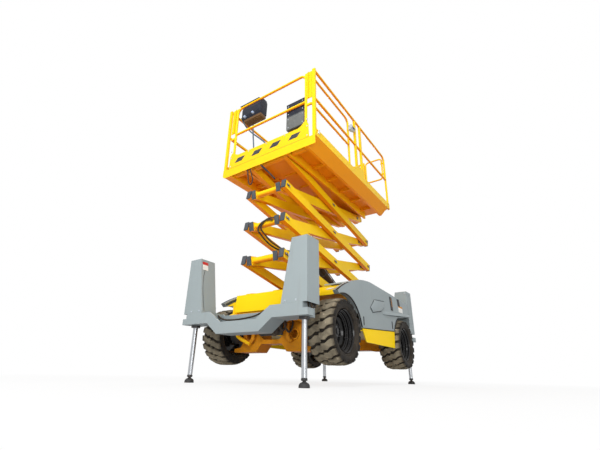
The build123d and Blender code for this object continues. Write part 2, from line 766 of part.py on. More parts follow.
cylinder_mounts = {0: (base_tube, cylinder_base, True), 1: (eye_tube, cylinder_eye, False)}
for stage in range(stages):
    mid_z = (level_z[stage] + level_z[stage + 1]) / 2
    first, last = stage == 0, stage == stages - 1
    y0, y1 = arm_wall_y["inner"]
    with BuildPart() as inner_frame:
        with BuildSketch(arm_plane(cross_x, y1, mid_z, -arm_angle)):
            add(arm_outline(inner_belly, not last, not first))
            with Locations((-half, 0), (0, 0), (half, 0)):
                Circle(pin_radius + run, mode=Mode.SUBTRACT)
        extrude(amount=y1 - y0)
        mirror(about=Plane.XZ)
        tube_spots = [(half, 0), (-half, 0)]
        if last:
            tube_spots = [(half, 0), (0, 0)]
        with BuildSketch(arm_plane(cross_x, y0, mid_z, -arm_angle)):
            with Locations(*tube_spots):
                Circle(cross_tube_radius)
                Circle(pin_radius + run, mode=Mode.SUBTRACT)
        extrude(amount=2 * y0)
        if stage in cylinder_mounts:
            tube_spot, pin_spot, pinned = cylinder_mounts[stage]
            with BuildSketch(arm_plane(cross_x, y0, mid_z, -arm_angle)):
                with Locations(tube_spot):
                    Circle(cross_tube_radius)
            extrude(amount=2 * y0)
            for lug_y in (lug_y0 + lug_wall, -lug_y0):
                with BuildSketch(arm_plane(cross_x, lug_y, mid_z, -arm_angle)):
                    with Locations(tube_spot, pin_spot):
                        Circle(cross_tube_radius + 8)
                    make_hull()
                extrude(amount=lug_wall)
            if pinned:
                with BuildSketch(arm_plane(cross_x, lug_y0 + lug_wall, mid_z, -arm_angle)):
                    with Locations(pin_spot):
                        Circle(pin_radius)
                extrude(amount=2 * (lug_y0 + lug_wall))
        if last:
            with BuildSketch(arm_plane(cross_x, y0, mid_z, -arm_angle)):
                with Locations((-half, 0)):
                    Circle(pin_radius)
            stubs = extrude(amount=8)
            mirror(stubs, about=Plane.XZ)
            with BuildSketch(arm_plane(cross_x, y0 - 8, mid_z, -arm_angle)):
                with Locations((-half, 0)):
                    Circle(roller_radius)
            rollers = extrude(amount=roller_width)
            mirror(rollers, about=Plane.XZ)
            with BuildSketch(arm_plane(cross_x, y1, mid_z, -arm_angle)):
                with Locations((-half, 0)):
                    Circle(pin_radius + 2)
            caps = extrude(amount=y1 - y0)
            mirror(caps, about=Plane.XZ)
    inner_frame.part.label = f"stage_{stage + 1}_inner_frame"
    export_step(inner_frame.part, f"parts/stage_{stage + 1}_inner_frame.step")

    y0, y1 = arm_wall_y["outer"]
    with BuildPart() as outer_arms:
        with BuildSketch(arm_plane(cross_x, y1, mid_z, arm_angle)):
            add(arm_outline(0, True, not last))
        extrude(amount=y1 - y0)
        pin_spots = [(0, 0)]
        if not first:
            pin_spots.append((-half, 0))
        if not last:
            pin_spots.append((half, 0))
        with BuildSketch(arm_plane(cross_x, y1 + pin_reach, mid_z, arm_angle)):
            with Locations(*pin_spots):
                Circle(pin_radius)
        extrude(amount=y1 + pin_reach - arm_wall_y["inner"][0])
        if first:
            with BuildSketch(arm_plane(cross_x, member_y1 - channel_wall - 4, mid_z, arm_angle)):
                with Locations((-half, 0)):
                    Circle(roller_radius)
            extrude(amount=member_y1 - channel_wall - 4 - member_y0 - 2)
            with BuildSketch(arm_plane(cross_x, member_y0 + 3, mid_z, arm_angle)):
                with Locations((-half, 0)):
                    Circle(pin_radius)
            extrude(amount=10)
        if last:
            with BuildSketch(arm_plane(cross_x, y1 + top_pin_reach, mid_z, arm_angle)):
                with Locations((half, 0)):
                    Circle(pin_radius)
            extrude(amount=y1 - y0 + top_pin_reach + 30)
        mirror(about=Plane.XZ)
    outer_arms.part.label = f"stage_{stage + 1}_outer_arms"
    export_step(outer_arms.part, f"parts/stage_{stage + 1}_outer_arms.step")

# ---------------------------------------------------------------- lift cylinder
barrel_wall_radius = 60.0
lift_rod_radius = 38.0
lift_barrel_length = 1040.0
lift_rod_length = 960.0
gland_length = 36.0
gland_radius = 66.0
eye_radius = 52.0
eye_reach = 44.0            # from a pin to where the barrel or the rod starts
barrel_floor = 36.0


def on_inner_arm(stage, spot):
    """World X and Z of a spot given along an inner arm and above it."""
    mid_z = (level_z[stage] + level_z[stage + 1]) / 2
    slope = radians(arm_angle)
    along, above = spot
    return (
        cross_x + along * cos(slope) + above * sin(slope),
        mid_z - along * sin(slope) + above * cos(slope),
    )


base_x, base_z = on_inner_arm(0, cylinder_base)
eye_x, eye_z = on_inner_arm(1, cylinder_eye)
stroke_length = sqrt((eye_x - base_x) ** 2 + (eye_z - base_z) ** 2)
lift_tilt = degrees(asin((eye_z - base_z) / stroke_length))
lift_dir = (cos(radians(lift_tilt)), 0, sin(radians(lift_tilt)))
lift_plane = Plane(origin=(base_x, 0, base_z), x_dir=(0, 1, 0), z_dir=lift_dir)

with BuildPart() as lift_cylinder_barrel:
    with BuildSketch(lift_plane.offset(eye_reach)):
        Circle(barrel_wall_radius)
    extrude(amount=lift_barrel_length - eye_reach)
    with BuildSketch(lift_plane.offset(lift_barrel_length - gland_length)):
        Circle(gland_radius)
    extrude(amount=gland_length)
    with BuildSketch(lift_plane.offset(eye_reach + barrel_floor)):
        Circle(lift_rod_radius + run)
    extrude(amount=lift_barrel_length, mode=Mode.SUBTRACT)
    with BuildSketch(side_plane(eye_half_width)):
        with Locations((base_x, base_z)):
            Circle(eye_radius)
            Circle(pin_radius + run, mode=Mode.SUBTRACT)
    extrude(amount=2 * eye_half_width)
lift_cylinder_barrel.part.label = "lift_cylinder_barrel"
export_step(lift_cylinder_barrel.part, "parts/lift_cylinder_barrel.step")

with BuildPart() as lift_cylinder_rod:
    with BuildSketch(lift_plane.offset(stroke_length - lift_rod_length)):
        Circle(lift_rod_radius)
    extrude(amount=lift_rod_length - eye_reach)
    with BuildSketch(side_plane(eye_half_width)):
        with Locations((eye_x, eye_z)):
            Circle(eye_radius)
            Circle(pin_radius + run, mode=Mode.SUBTRACT)
    extrude(amount=2 * eye_half_width)
lift_cylinder_rod.part.label = "lift_cylinder_rod"
export_step(lift_cylinder_rod.part, "parts/lift_cylinder_rod.step")

# ---------------------------------------------------------------- platform
deck_under_z = deck_z - deck_sheet
rail_channel_y = 100.0
platform_mid_x = (platform_front_x + platform_rear_x) / 2
platform_length = platform_front_x - platform_rear_x
deck_beam_y = 345.0
deck_beam_wall = 30.0
side_beam_y = 640.0
skirt_sheet = 5.0
top_pivot_z = level_z[stages]
fascia_z0 = deck_z - fascia_depth

corner_radius = 150.0       # of the deck at its rear
fascia_corners = (45.0, 120.0)       # lower corners of the front fascia, right and left
tread_x0 = platform_rear_x + 70
tread_x1 = extension_rear_x - 40
tread_half_width = 700.0
tread_sheet = 2.0
rib_xs = [-900.0 + 400 * step for step in range(5)]
rib_length = 40.0
rib_depth = 18.0
outer_rib_depth = 50.0
deck_beam_rear_x = platform_rear_x + corner_radius
sheet_end_x = platform_front_x - deck_sheet
tube_radius = 38.0          # of the cross tube under the deck's front

with BuildPart() as platform_deck:
    with BuildSketch(Plane.XY.offset(deck_under_z)):
        with Locations((platform_mid_x, 0)):
            Rectangle(platform_length, 2 * platform_half_width)
    extrude(amount=deck_sheet)
    fillet(platform_deck.edges().filter_by(Axis.Z).sort_by(Axis.X)[:2], corner_radius)
    with BuildSketch(Plane.XY.offset(deck_z)):
        with Locations(((tread_x0 + tread_x1) / 2, 0)):
            Rectangle(tread_x1 - tread_x0, 2 * tread_half_width)
    extrude(amount=tread_sheet)
    # front fascia, its left lower corner on a large radius
    with BuildSketch(cross_plane(platform_front_x - deck_sheet)) as fascia:
        with Locations((0, (fascia_z0 + deck_z) / 2)):
            Rectangle(2 * platform_half_width, fascia_depth)
        low_corners = fascia.vertices().group_by(Axis.Z)[0].sort_by(Axis.Y)
        fillet(low_corners[0], fascia_corners[0])
        fillet(low_corners[1], fascia_corners[1])
    extrude(amount=deck_sheet)
platform_deck.part.label = "platform_deck"
export_step(platform_deck.part, "parts/platform_deck.step")

notch_y0 = rail_channel_y   # the ribs are open over the roller channels and the inner arms
notch_y1 = arm_wall_y["inner"][1] + 6
tube_half = arm_wall_y["outer"][0] - 6
bracket_wall = 12.0
tube_y0 = arm_wall_y["outer"][1] + 6
with BuildPart() as deck_beams:
    for beam_y in (-deck_beam_y - deck_beam_wall, deck_beam_y):
        with BuildSketch(cross_plane(deck_beam_rear_x)):
            with Locations((beam_y + deck_beam_wall / 2, (fascia_z0 + deck_under_z) / 2)):
                Rectangle(deck_beam_wall, deck_under_z - fascia_z0)
        extrude(amount=sheet_end_x - deck_beam_rear_x)
    for rib_x in rib_xs:
        with Locations((rib_x, 0, deck_under_z - rib_depth / 2)):
            Box(rib_length, 2 * notch_y0, rib_depth)
        for sign in (-1, 1):
            with Locations((rib_x, sign * (notch_y1 + deck_beam_y) / 2, deck_under_z - rib_depth / 2)):
                Box(rib_length, deck_beam_y - notch_y1, rib_depth)
    # cross tube that carries the last stage's front pins, on two brackets
    with BuildSketch(side_plane(tube_half)):
        with Locations((front_pivot_x, top_pivot_z)):
            Circle(tube_radius)
            Circle(pin_radius + run, mode=Mode.SUBTRACT)
    extrude(amount=2 * tube_half)
    for bracket_y in (bracket_wall - tube_half, tube_half):
        with BuildSketch(side_plane(bracket_y)):
            with Locations((front_pivot_x, (top_pivot_z + deck_under_z) / 2)):
                Rectangle(2 * tube_radius - 6, deck_under_z - top_pivot_z)
            with Locations((front_pivot_x, top_pivot_z)):
                Circle(pin_radius + run, mode=Mode.SUBTRACT)
        extrude(amount=bracket_wall)
    with BuildSketch(side_plane(deck_beam_y)):
        with Locations((front_pivot_x, top_pivot_z)):
            Circle(tube_radius)
            Circle(pin_radius + run, mode=Mode.SUBTRACT)
    stubs = extrude(amount=deck_beam_y - tube_y0)
    mirror(stubs, about=Plane.XZ)
deck_beams.part.label = "deck_beams"
export_step(deck_beams.part, "parts/deck_beams.step")

# roller channels over the top of the last stage, hung from the deck on webs
channel_web = 64.0
channel_rear_x = platform_rear_x + 5
with BuildPart() as roller_channels:
    for sign in (-1, 1):
        channel_mid_y = sign * (rail_channel_y + channel_web / 2)
        with BuildSketch(cross_plane(channel_rear_x)):
            with Locations((channel_mid_y, top_pivot_z)):
                Rectangle(channel_web, channel_z1 - channel_z0 + 2 * channel_wall)
            with Locations((channel_mid_y + sign * channel_wall, top_pivot_z)):
                Rectangle(channel_web, channel_z1 - channel_z0, mode=Mode.SUBTRACT)
            with Locations((
                sign * (rail_channel_y + channel_wall / 2),
                (top_pivot_z + roller_radius + channel_gap + deck_under_z) / 2,
            )):
                Rectangle(channel_wall, deck_under_z - top_pivot_z - roller_radius - channel_gap)
        extrude(amount=channel_x1 - channel_rear_x)
roller_channels.part.label = "roller_channels"
export_step(roller_channels.part, "parts/roller_channels.step")

# side skirts folded under, the left one sloping, each with a web up to the deck, ribs and an end of
# the front cross tube
web_y = side_beam_y - 20
skirt_rear_x = platform_rear_x + 120
left_skirt_outline = [
    (platform_half_width, deck_under_z), (side_beam_y + 20, fascia_z0), (web_y, fascia_z0),
    (web_y, deck_under_z), (web_y + skirt_sheet, deck_under_z),
    (web_y + skirt_sheet, fascia_z0 + skirt_sheet), (side_beam_y + 18, fascia_z0 + skirt_sheet),
    (platform_half_width - 8, deck_under_z),
]
right_skirt_outline = [
    (-platform_half_width, deck_under_z), (-platform_half_width, fascia_z0 + 40),
    (-platform_half_width + 45, fascia_z0), (-web_y, fascia_z0), (-web_y, deck_under_z),
    (-web_y - skirt_sheet, deck_under_z), (-web_y - skirt_sheet, fascia_z0 + skirt_sheet),
    (-platform_half_width + 47, fascia_z0 + skirt_sheet),
    (-platform_half_width + skirt_sheet, fascia_z0 + 43),
    (-platform_half_width + skirt_sheet, deck_under_z),
]
rib_y0 = deck_beam_y + deck_beam_wall
for side, sign, skirt_outline in (("left", 1, left_skirt_outline), ("right", -1, right_skirt_outline)):
    with BuildPart() as deck_skirt:
        with BuildSketch(cross_plane(skirt_rear_x)):
            with BuildLine():
                Polyline(*skirt_outline, close=True)
            make_face()
        extrude(amount=sheet_end_x - skirt_rear_x)
        for rib_x in rib_xs:
            with Locations((rib_x, sign * (rib_y0 + web_y) / 2, deck_under_z - outer_rib_depth / 2)):
                Box(rib_length, web_y - rib_y0, outer_rib_depth)
        with BuildSketch(side_plane(web_y if sign > 0 else -rib_y0)):
            with Locations((front_pivot_x, top_pivot_z)):
                Circle(tube_radius)
        extrude(amount=web_y - rib_y0)
    deck_skirt.part.label = f"{side}_deck_skirt"
    export_step(deck_skirt.part, f"parts/{side}_deck_skirt.step")

rail_y = platform_half_width - 22
rail_z = rail_top_z - rail_tube
mid_rail_z = deck_z + mid_rail_height
corner_post_x = platform_front_x - 20
rear_rail_x = platform_rear_x + 20
mid_post_xs = (60.0, -134.0)
gate_y0 = 400.0             # inner edge of the entry gate
gate_post_y = gate_y0 - 40
toe_height = 110.0
toe_sheet = 4.0


def tube(points, bend, radius, close=False):
    """A round tube along straight runs with rounded corners."""
    with BuildPart() as piece:
        with BuildLine() as path:
            if bend:
                FilletPolyline(*points, radius=bend, close=close)
            else:
                Polyline(*points)
        with BuildSketch(Plane(origin=path.line @ 0, z_dir=path.line % 0)):
            Circle(radius)
        sweep(path=path.line)
    return piece.part


gate_tube = 14.0
gate_y1 = rail_y - 40       # the gate's outer upright, which is its hinge
gate_z0 = mid_rail_z + 40
hinge_ring = 21.0
hinge_height = 24.0
hinge_drop = 110.0          # below the top rail
hinge_zs = (gate_z0 + 100, rail_z - hinge_drop)
toe_step = 230.0            # height of the side toe board where it steps up
toe_step_x = (-155.0, 80.0)
toe_curve = [(260.0, toe_height), (150.0, 140.0), (toe_step_x[1], toe_step)]     # (x, height)

for side, sign in (("left", 1), ("right", -1)):
    side_y = sign * rail_y
    top_run = [(corner_post_x, side_y, rail_z), (rear_rail_x, side_y, rail_z), (rear_rail_x, side_y, deck_z)]
    mid_run = [(corner_post_x, side_y, mid_rail_z), (rear_rail_x, side_y, mid_rail_z)]
    side_runs = [tube(top_run, rail_bend, rail_tube), tube(mid_run, 0, rail_tube)]
    with BuildPart() as side_rails:
        for side_run in side_runs:
            add(side_run)
        with Locations((corner_post_x, side_y, (deck_z + rail_top_z) / 2)):
            Box(post_wall, post_depth, rail_height)
        for post_x in mid_post_xs:
            with Locations((post_x, side_y, (deck_z + rail_z) / 2)):
                Box(mid_post_width, post_wall, rail_z - deck_z)
        with BuildSketch(side_plane(sign * (platform_half_width - 4) + toe_sheet / 2)):
            with BuildLine():
                Polyline(
                    (corner_post_x, deck_z), (corner_post_x, deck_z + toe_height),
                    (toe_curve[0][0], deck_z + toe_height),
                )
                ThreePointArc(*[(x, deck_z + height) for x, height in toe_curve])
                Polyline(
                    (toe_step_x[1], deck_z + toe_step), (toe_step_x[0], deck_z + toe_step),
                    (toe_step_x[0], deck_z + toe_height),
                    (rear_rail_x, deck_z + toe_height), (rear_rail_x, deck_z), (corner_post_x, deck_z),
                )
            make_face()
        extrude(amount=toe_sheet)
        with Locations((rear_rail_x, sign * (rail_y + 10), deck_z + toe_height / 2)):
            Box(post_wall, 24, toe_height)
        if side == "left":
            for z in hinge_zs:
                with Locations((rear_rail_x, gate_y1, z)):
                    Cylinder(hinge_ring, hinge_height)
                with Locations((rear_rail_x, (gate_y1 + rail_y) / 2, z)):
                    Box(14, rail_y - gate_y1, hinge_height)
                with Locations((rear_rail_x, gate_y1, z)):
                    Cylinder(gate_tube + run, hinge_height, mode=Mode.SUBTRACT)
    side_rails.part.label = f"{side}_rails"
    export_step(side_rails.part, f"parts/{side}_rails.step")

rear_post_y = -rail_y + 45
rear_loop = [
    (rear_rail_x, gate_post_y, rail_z), (rear_rail_x, rear_post_y, rail_z),
    (rear_rail_x, rear_post_y, deck_z),
]
rear_mid = [(rear_rail_x, gate_post_y, mid_rail_z), (rear_rail_x, rear_post_y, mid_rail_z)]
rear_runs = [tube(rear_loop, rail_bend, rail_tube), tube(rear_mid, 0, rail_tube)]
with BuildPart() as rear_rails:
    for rear_run in rear_runs:
        add(rear_run)
    with Locations((rear_rail_x, gate_post_y, (deck_z + rail_top_z) / 2)):
        Box(2 * rail_tube, 2 * rail_tube, rail_height)
    with Locations((rear_rail_x, (gate_post_y + rear_post_y) / 2, deck_z + toe_height / 2)):
        Box(toe_sheet, gate_post_y - rear_post_y, toe_height)
    for z in (mid_rail_z, rail_z - hinge_drop):
        with Locations((rear_rail_x, (rear_post_y - rail_y + rail_tube) / 2, z)):
            Box(10, rear_post_y + rail_y - rail_tube, 30)
rear_rails.part.label = "rear_rails"
export_step(rear_rails.part, "parts/rear_rails.step")

gate_loop = [
    (rear_rail_x, gate_y1, gate_z0), (rear_rail_x, gate_y0, gate_z0),
    (rear_rail_x, gate_y0, rail_z), (rear_rail_x, gate_y1, rail_z),
]
gate_bow = tube(gate_loop, 60, gate_tube, close=True)
with BuildPart() as rear_gate:
    add(gate_bow)
rear_gate.part.label = "rear_gate"
export_step(rear_gate.part, "parts/rear_gate.step")

# ---------------------------------------------------------------- extension
extension_half_width = 715.0
extension_sheet = 6.0
skid = 4.7
skid_y = 600.0
skid_width = 60.0
extension_z = deck_z + 0.3 + skid
extension_rail_y = 708.0
extension_tube = 16.0
extension_top_z = rail_z - 62
extension_mid_z = mid_rail_z - 62
guard_x = platform_front_x - 32
guard_y = 625.0
toe_board_x = platform_front_x - 14
toe_board_height = 195.0
# right half of the toe board's top edge, (y, height): it climbs to the guard's leg on a curve
toe_climb = [(470.0, toe_board_height), (560.0, toe_board_height + 18), (604.0, toe_board_height + 62)]
toe_end = [(646.0, toe_board_height + 62), (674.0, toe_board_height + 10), (686.0, 0.0)]
with BuildPart() as extension_deck:
    with BuildSketch(Plane.XY.offset(extension_z)):
        with Locations(((extension_rear_x + toe_board_x) / 2, 0)):
            Rectangle(toe_board_x - extension_rear_x, 2 * extension_half_width)
    extrude(amount=extension_sheet)
    with BuildSketch(Plane.XY.offset(deck_z + 0.3)):
        for sign in (-1, 1):
            with Locations(((extension_rear_x + toe_board_x) / 2, sign * skid_y)):
                Rectangle(toe_board_x - extension_rear_x - 40, skid_width)
    extrude(amount=skid)
    with BuildSketch(cross_plane(toe_board_x)):
        with BuildLine():
            climb = [(y, extension_z + height) for y, height in toe_climb]
            end = [(y, extension_z + height) for y, height in toe_end]
            Line((0, climb[0][1]), climb[0])
            ThreePointArc(*climb)
            Polyline(climb[2], *end, (0, extension_z), (0, climb[0][1]))
        make_face()
        mirror(about=Plane.YZ)
    extrude(amount=toe_sheet)
extension_deck.part.label = "extension_deck"
export_step(extension_deck.part, "parts/extension_deck.step")

rail_end_x = 200.0
floor_z = extension_z + extension_sheet
corner_plate_z0 = mid_rail_z + 40
guard_loop = [
    (guard_x, -guard_y, floor_z), (guard_x, -guard_y, rail_z), (guard_x, guard_y, rail_z),
    (guard_x, guard_y, floor_z),
]
extension_runs = [
    tube(guard_loop, 95, rail_tube),
    tube([(guard_x, -guard_y, mid_rail_z), (guard_x, guard_y, mid_rail_z)], 0, rail_tube),
]
for sign in (-1, 1):
    side_y = sign * extension_rail_y
    top_run = [(guard_x, side_y, extension_top_z), (rail_end_x, side_y, extension_top_z),
               (rail_end_x, side_y, floor_z)]
    extension_runs.append(tube(top_run, rail_bend, extension_tube))
    mid_run = [(guard_x, side_y, extension_mid_z), (rail_end_x, side_y, extension_mid_z)]
    extension_runs.append(tube(mid_run, 0, extension_tube))

with BuildPart() as extension_rails:
    for extension_run in extension_runs:
        add(extension_run)
    for sign in (-1, 1):
        plate_y = sign * (guard_y + extension_rail_y) / 2
        with Locations((guard_x, plate_y, (corner_plate_z0 + rail_top_z) / 2)):
            Box(6, extension_rail_y - guard_y + 2 * extension_tube, rail_top_z - corner_plate_z0)
        with Locations((guard_x + 10, plate_y, (corner_plate_z0 + rail_top_z) / 2)):
            Box(14, 10, rail_top_z - corner_plate_z0)
        with Locations((guard_x, plate_y, extension_mid_z)):
            Box(20, extension_rail_y - guard_y, 30)
extension_rails.part.label = "extension_rails"
export_step(extension_rails.part, "parts/extension_rails.step")

box_y0 = -600.0
box_y1 = -150.0
box_rear_x = guard_x - 150
hook_z = rail_top_z + 0.3
hook_reach = 24.0           # of the hood over the guard's top rail, to either side
with BuildPart() as control_box:
    with BuildSketch(side_plane(box_y1)):
        with BuildLine():
            Polyline(
                (box_rear_x, hook_z - 300), (guard_x - hook_reach, hook_z - 345),
                (guard_x - hook_reach, hook_z), (guard_x + hook_reach, hook_z),
                (guard_x + hook_reach, hook_z + 12), (box_rear_x, hook_z + 28), close=True,
            )
        make_face()
    extrude(amount=box_y1 - box_y0)
control_box.part.label = "control_box"
export_step(control_box.part, "parts/control_box.step")

case_size = (60.0, 290.0, 430.0)
case_y = 445.0
case_z = 3285.0
case_seam = 4.0             # groove round the case under its lid
case_x = guard_x - rail_tube - 0.3 - case_size[0] / 2
with BuildPart() as document_case:
    with Locations((case_x, case_y, case_z)):
        Box(*case_size)
    fillet(document_case.edges().filter_by(Axis.X), 14)
    with Locations((case_x + case_size[0] / 2, case_y, case_z)):
        Box(2 * case_seam, case_size[1], case_seam, mode=Mode.SUBTRACT)
document_case.part.label = "document_case"
export_step(document_case.part, "parts/document_case.step")
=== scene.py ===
"""Looks of the rough-terrain scissor lift: finishes, tyre tread, fasteners, hoses and a plain studio.

Everything is in metres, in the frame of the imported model: X towards the end where the
platform extends, Y to the machine's left, Z up, origin on the floor under the base.
"""
import json
from math import asin, atan2, cos, pi, radians, sin

import bmesh
import bpy
from mathutils import Matrix, Vector


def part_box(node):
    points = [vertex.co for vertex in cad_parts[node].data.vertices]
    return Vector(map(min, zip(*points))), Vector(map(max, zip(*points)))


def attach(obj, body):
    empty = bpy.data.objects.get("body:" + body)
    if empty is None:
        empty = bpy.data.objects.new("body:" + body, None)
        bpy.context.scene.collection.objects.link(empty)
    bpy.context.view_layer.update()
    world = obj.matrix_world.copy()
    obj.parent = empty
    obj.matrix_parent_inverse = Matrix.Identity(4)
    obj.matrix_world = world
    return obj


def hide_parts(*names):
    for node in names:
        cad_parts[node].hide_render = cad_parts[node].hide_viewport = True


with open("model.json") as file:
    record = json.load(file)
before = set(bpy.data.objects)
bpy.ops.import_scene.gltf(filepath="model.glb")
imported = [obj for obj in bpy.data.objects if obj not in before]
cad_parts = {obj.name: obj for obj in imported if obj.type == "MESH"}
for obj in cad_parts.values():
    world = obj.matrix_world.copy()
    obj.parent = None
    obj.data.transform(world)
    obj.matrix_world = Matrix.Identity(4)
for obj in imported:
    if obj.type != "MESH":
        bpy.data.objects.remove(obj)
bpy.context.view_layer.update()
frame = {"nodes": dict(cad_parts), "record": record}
scene = bpy.context.scene


# ---- node trees
def math_node(operation, swapped=False):
    """A method that joins a Signal and another value by a Math node."""
    def method(self, other):
        return self.combine(operation, *((other, self) if swapped else (self, other)))
    return method


class Signal:
    """One value in a node tree. Python's operators on it add the Math nodes they name."""

    def __init__(self, owner, socket):
        self.owner = owner
        self.socket = socket

    def combine(self, operation, *terms):
        return self.owner.signal("ShaderNodeMath", dict(enumerate(terms)), operation=operation)

    __add__, __radd__ = math_node("ADD"), math_node("ADD", True)
    __sub__, __rsub__ = math_node("SUBTRACT"), math_node("SUBTRACT", True)
    __mul__, __rtruediv__ = math_node("MULTIPLY"), math_node("DIVIDE", True)
    __pow__ = math_node("POWER")
    least, most = math_node("MINIMUM"), math_node("MAXIMUM")

    def absolute(self):
        return self.combine("ABSOLUTE", self)

    def over(self, low, high):
        """0 below low, 1 above high, smooth between them."""
        inputs = {"Value": self, "From Min": low, "From Max": high}
        return self.owner.signal("ShaderNodeMapRange", inputs, "Result", interpolation_type="SMOOTHSTEP")


class Nodes:
    """A node tree under construction. A node given as a value stands for its first output."""

    def __init__(self, tree):
        self.tree = tree

    def node(self, kind, inputs=None, **settings):
        """Any node: its type, the values or links of its sockets, and its settings."""
        made = self.tree.nodes.new(kind)
        for name, value in settings.items():
            setattr(made, name, value)
        for key, value in (inputs or {}).items():
            self.feed(made.inputs[key], value)
        return made

    def signal(self, kind, inputs=None, output=0, **settings):
        return Signal(self, self.node(kind, inputs, **settings).outputs[output])

    def feed(self, socket, value):
        if isinstance(value, Signal):
            value = value.socket
        if isinstance(value, bpy.types.Node):
            value = value.outputs[0]
        if isinstance(value, bpy.types.NodeSocket):
            self.tree.links.new(value, socket)
        elif isinstance(value, tuple) and socket.type == "RGBA":
            socket.default_value = (*value, 1.0)
        else:
            socket.default_value = value

    def seen_rays(self):
        """1 for rays that show a thing to the camera, straight, mirrored or through glass."""
        path = self.node("ShaderNodeLightPath").outputs
        straight = Signal(self, path["Is Camera Ray"])
        return straight.most(path["Is Glossy Ray"]).most(path["Is Transmission Ray"])


class Finish(Nodes):
    """A material under construction: patterns are Signals, colours are sockets."""

    def __init__(self, name):
        self.material = bpy.data.materials.new(name)
        self.material.use_nodes = True
        super().__init__(self.material.node_tree)
        self.tree.nodes.clear()
        self.place = self.node("ShaderNodeTexCoord").outputs["Object"]
        self.facing = self.node("ShaderNodeNewGeometry").outputs["Normal"]

    def stretched(self, scale):
        """The object's coordinates, stretched to a scale along each axis."""
        return self.node("ShaderNodeMapping", {"Vector": self.place, "Scale": scale})

    def noise(self, scale, detail=3.0, roughness=0.55, distortion=0.0, along=None):
        inputs = {"Vector": along or self.place, "Scale": scale, "Detail": detail,
                  "Roughness": roughness, "Distortion": distortion}
        return self.signal("ShaderNodeTexNoise", inputs, "Fac")

    def cells(self, scale, along=None):
        inputs = {"Vector": along or self.place, "Scale": scale}
        return self.signal("ShaderNodeTexVoronoi", inputs, "Distance", feature="F1")

    def axis(self, vector, letter):
        return self.signal("ShaderNodeSeparateXYZ", {0: vector}, letter)

    def height(self):
        return self.axis(self.place, "Z")

    def upwards(self):
        """1 on faces that look straight up, 0 on walls and undersides."""
        return self.axis(self.facing, "Z").over(0.25, 0.95)

    def underside_shade_mask(self):
        """1 on undersides, 0 on walls and tops: where painted shade goes."""
        return (self.axis(self.facing, "Z") * -1.0).over(0.15, 0.85)

    def rounded(self, radius):
        return self.node("ShaderNodeBevel", {"Radius": radius}, samples=4)

    def edges(self, radius):
        """1 along outer and inner edges, from how far a rounded normal leaves the true one."""
        inputs = {0: self.rounded(radius), 1: self.facing}
        return 1.0 - self.signal("ShaderNodeVectorMath", inputs, "Value", operation="DOT_PRODUCT")

    def blend(self, factor, under, over):
        """Colour over laid on colour under, as much as factor says."""
        return self.node("ShaderNodeMix", {0: factor, 6: under, 7: over}, data_type="RGBA").outputs[2]

    def relief(self, height, depth, rounding=0.0):
        """Normal of a surface raised by height (0 to 1) times depth, in metres."""
        bump = self.node("ShaderNodeBump", {"Height": height, "Distance": depth})
        if rounding:
            self.feed(bump.inputs["Normal"], self.rounded(rounding))
        return bump

    def surface(self, color, roughness, normal=None, metallic=0.0, coat=0.0, specular=0.5):
        inputs = {"Base Color": color, "Roughness": roughness, "Metallic": metallic,
                  "Coat Weight": coat, "Coat Roughness": 0.12, "Specular IOR Level": specular}
        if normal is not None:
            inputs["Normal"] = normal
        self.node("ShaderNodeOutputMaterial", {0: self.node("ShaderNodeBsdfPrincipled", inputs)})
        return self.material


# ---- finishes
# the axles' distances before and behind the origin, their height, and the tyres' distance from the middle
FRONT_AXLE, REAR_AXLE, AXLE_HEIGHT, HALF_TRACK = 0.91, 0.963, 0.526, 0.757
DUST = (0.34, 0.27, 0.18)
MUD = (0.16, 0.1, 0.05)
EARTH = (0.22, 0.125, 0.045)
PALE_SOIL = (0.5, 0.3, 0.05)


def enamel(name, paint, shade, under, grime=0.35, gloss=0.38, coat=0.0, specular=0.15, hollow_shade=0.85,
           soil=DUST):
    """Sprayed enamel over steel: soft tone changes, painted shade in the under colour on undersides and in
    hollows, rain streaks, dust on top, worn edges.
    """
    f = Finish(name)
    broad = f.noise(1.7, 2.0)
    streaks = f.noise(3.0, 5.0, 0.6, 0.4, along=f.stretched((6.0, 6.0, 0.55)))
    scuffs = f.noise(38.0, 6.0, 0.72, 1.2)
    color = f.blend(broad.over(0.35, 0.7) * 0.6, paint, shade)
    # painted shade: the under colour on undersides and in the hollows that ambient occlusion finds
    open_air = f.node("ShaderNodeAmbientOcclusion", {"Distance": 0.5}, samples=6).outputs["AO"]
    enclosure_shade = 1.0 - Signal(f, open_air).over(0.05, 0.65)
    color = f.blend((f.underside_shade_mask() * 0.85).most(enclosure_shade * hollow_shade), color, under)
    color = f.blend(streaks.over(0.55, 0.8) * grime * 0.4, color, MUD)
    color = f.blend(f.upwards() * f.noise(9.0, 4.0).over(0.3, 0.75) * grime, color, soil)
    low = 1.0 - f.height().over(0.25, 0.95)
    color = f.blend(low * scuffs.over(0.46, 0.7) * grime * 0.7, color, soil)
    worn = f.edges(0.003).over(0.03, 0.16) * scuffs.over(0.52, 0.64)
    color = f.blend(worn * 0.6, color, (0.16, 0.14, 0.12))
    peel = f.noise(260.0, 1.0)
    normal = f.relief(peel * 0.4 + scuffs * 0.2, 0.00025, 0.003)
    roughness = gloss + scuffs.over(0.4, 0.8) * 0.14 + low * 0.1
    return f.surface(color, roughness, normal, coat=coat, specular=specular)


def rubber(name, base, soil, amount):
    """Tyre or hose rubber, tan with dried soil in patches."""
    f = Finish(name)
    patches = f.noise(7.0, 5.0, 0.65, 0.8)
    grain = f.noise(120.0, 4.0, 0.7)
    cover = (patches.over(0.36, 0.66) * 0.7 + grain.over(0.42, 0.7) * 0.3).least(1.0)
    color = f.blend(cover * amount, base, soil)
    color = f.blend(f.edges(0.006).over(0.02, 0.2) * amount * 0.55, color, (0.34, 0.28, 0.2))
    normal = f.relief(grain * 0.6 + patches * 0.8, 0.0012, 0.003)
    return f.surface(color, 0.66 + grain * 0.2, normal, specular=0.3)


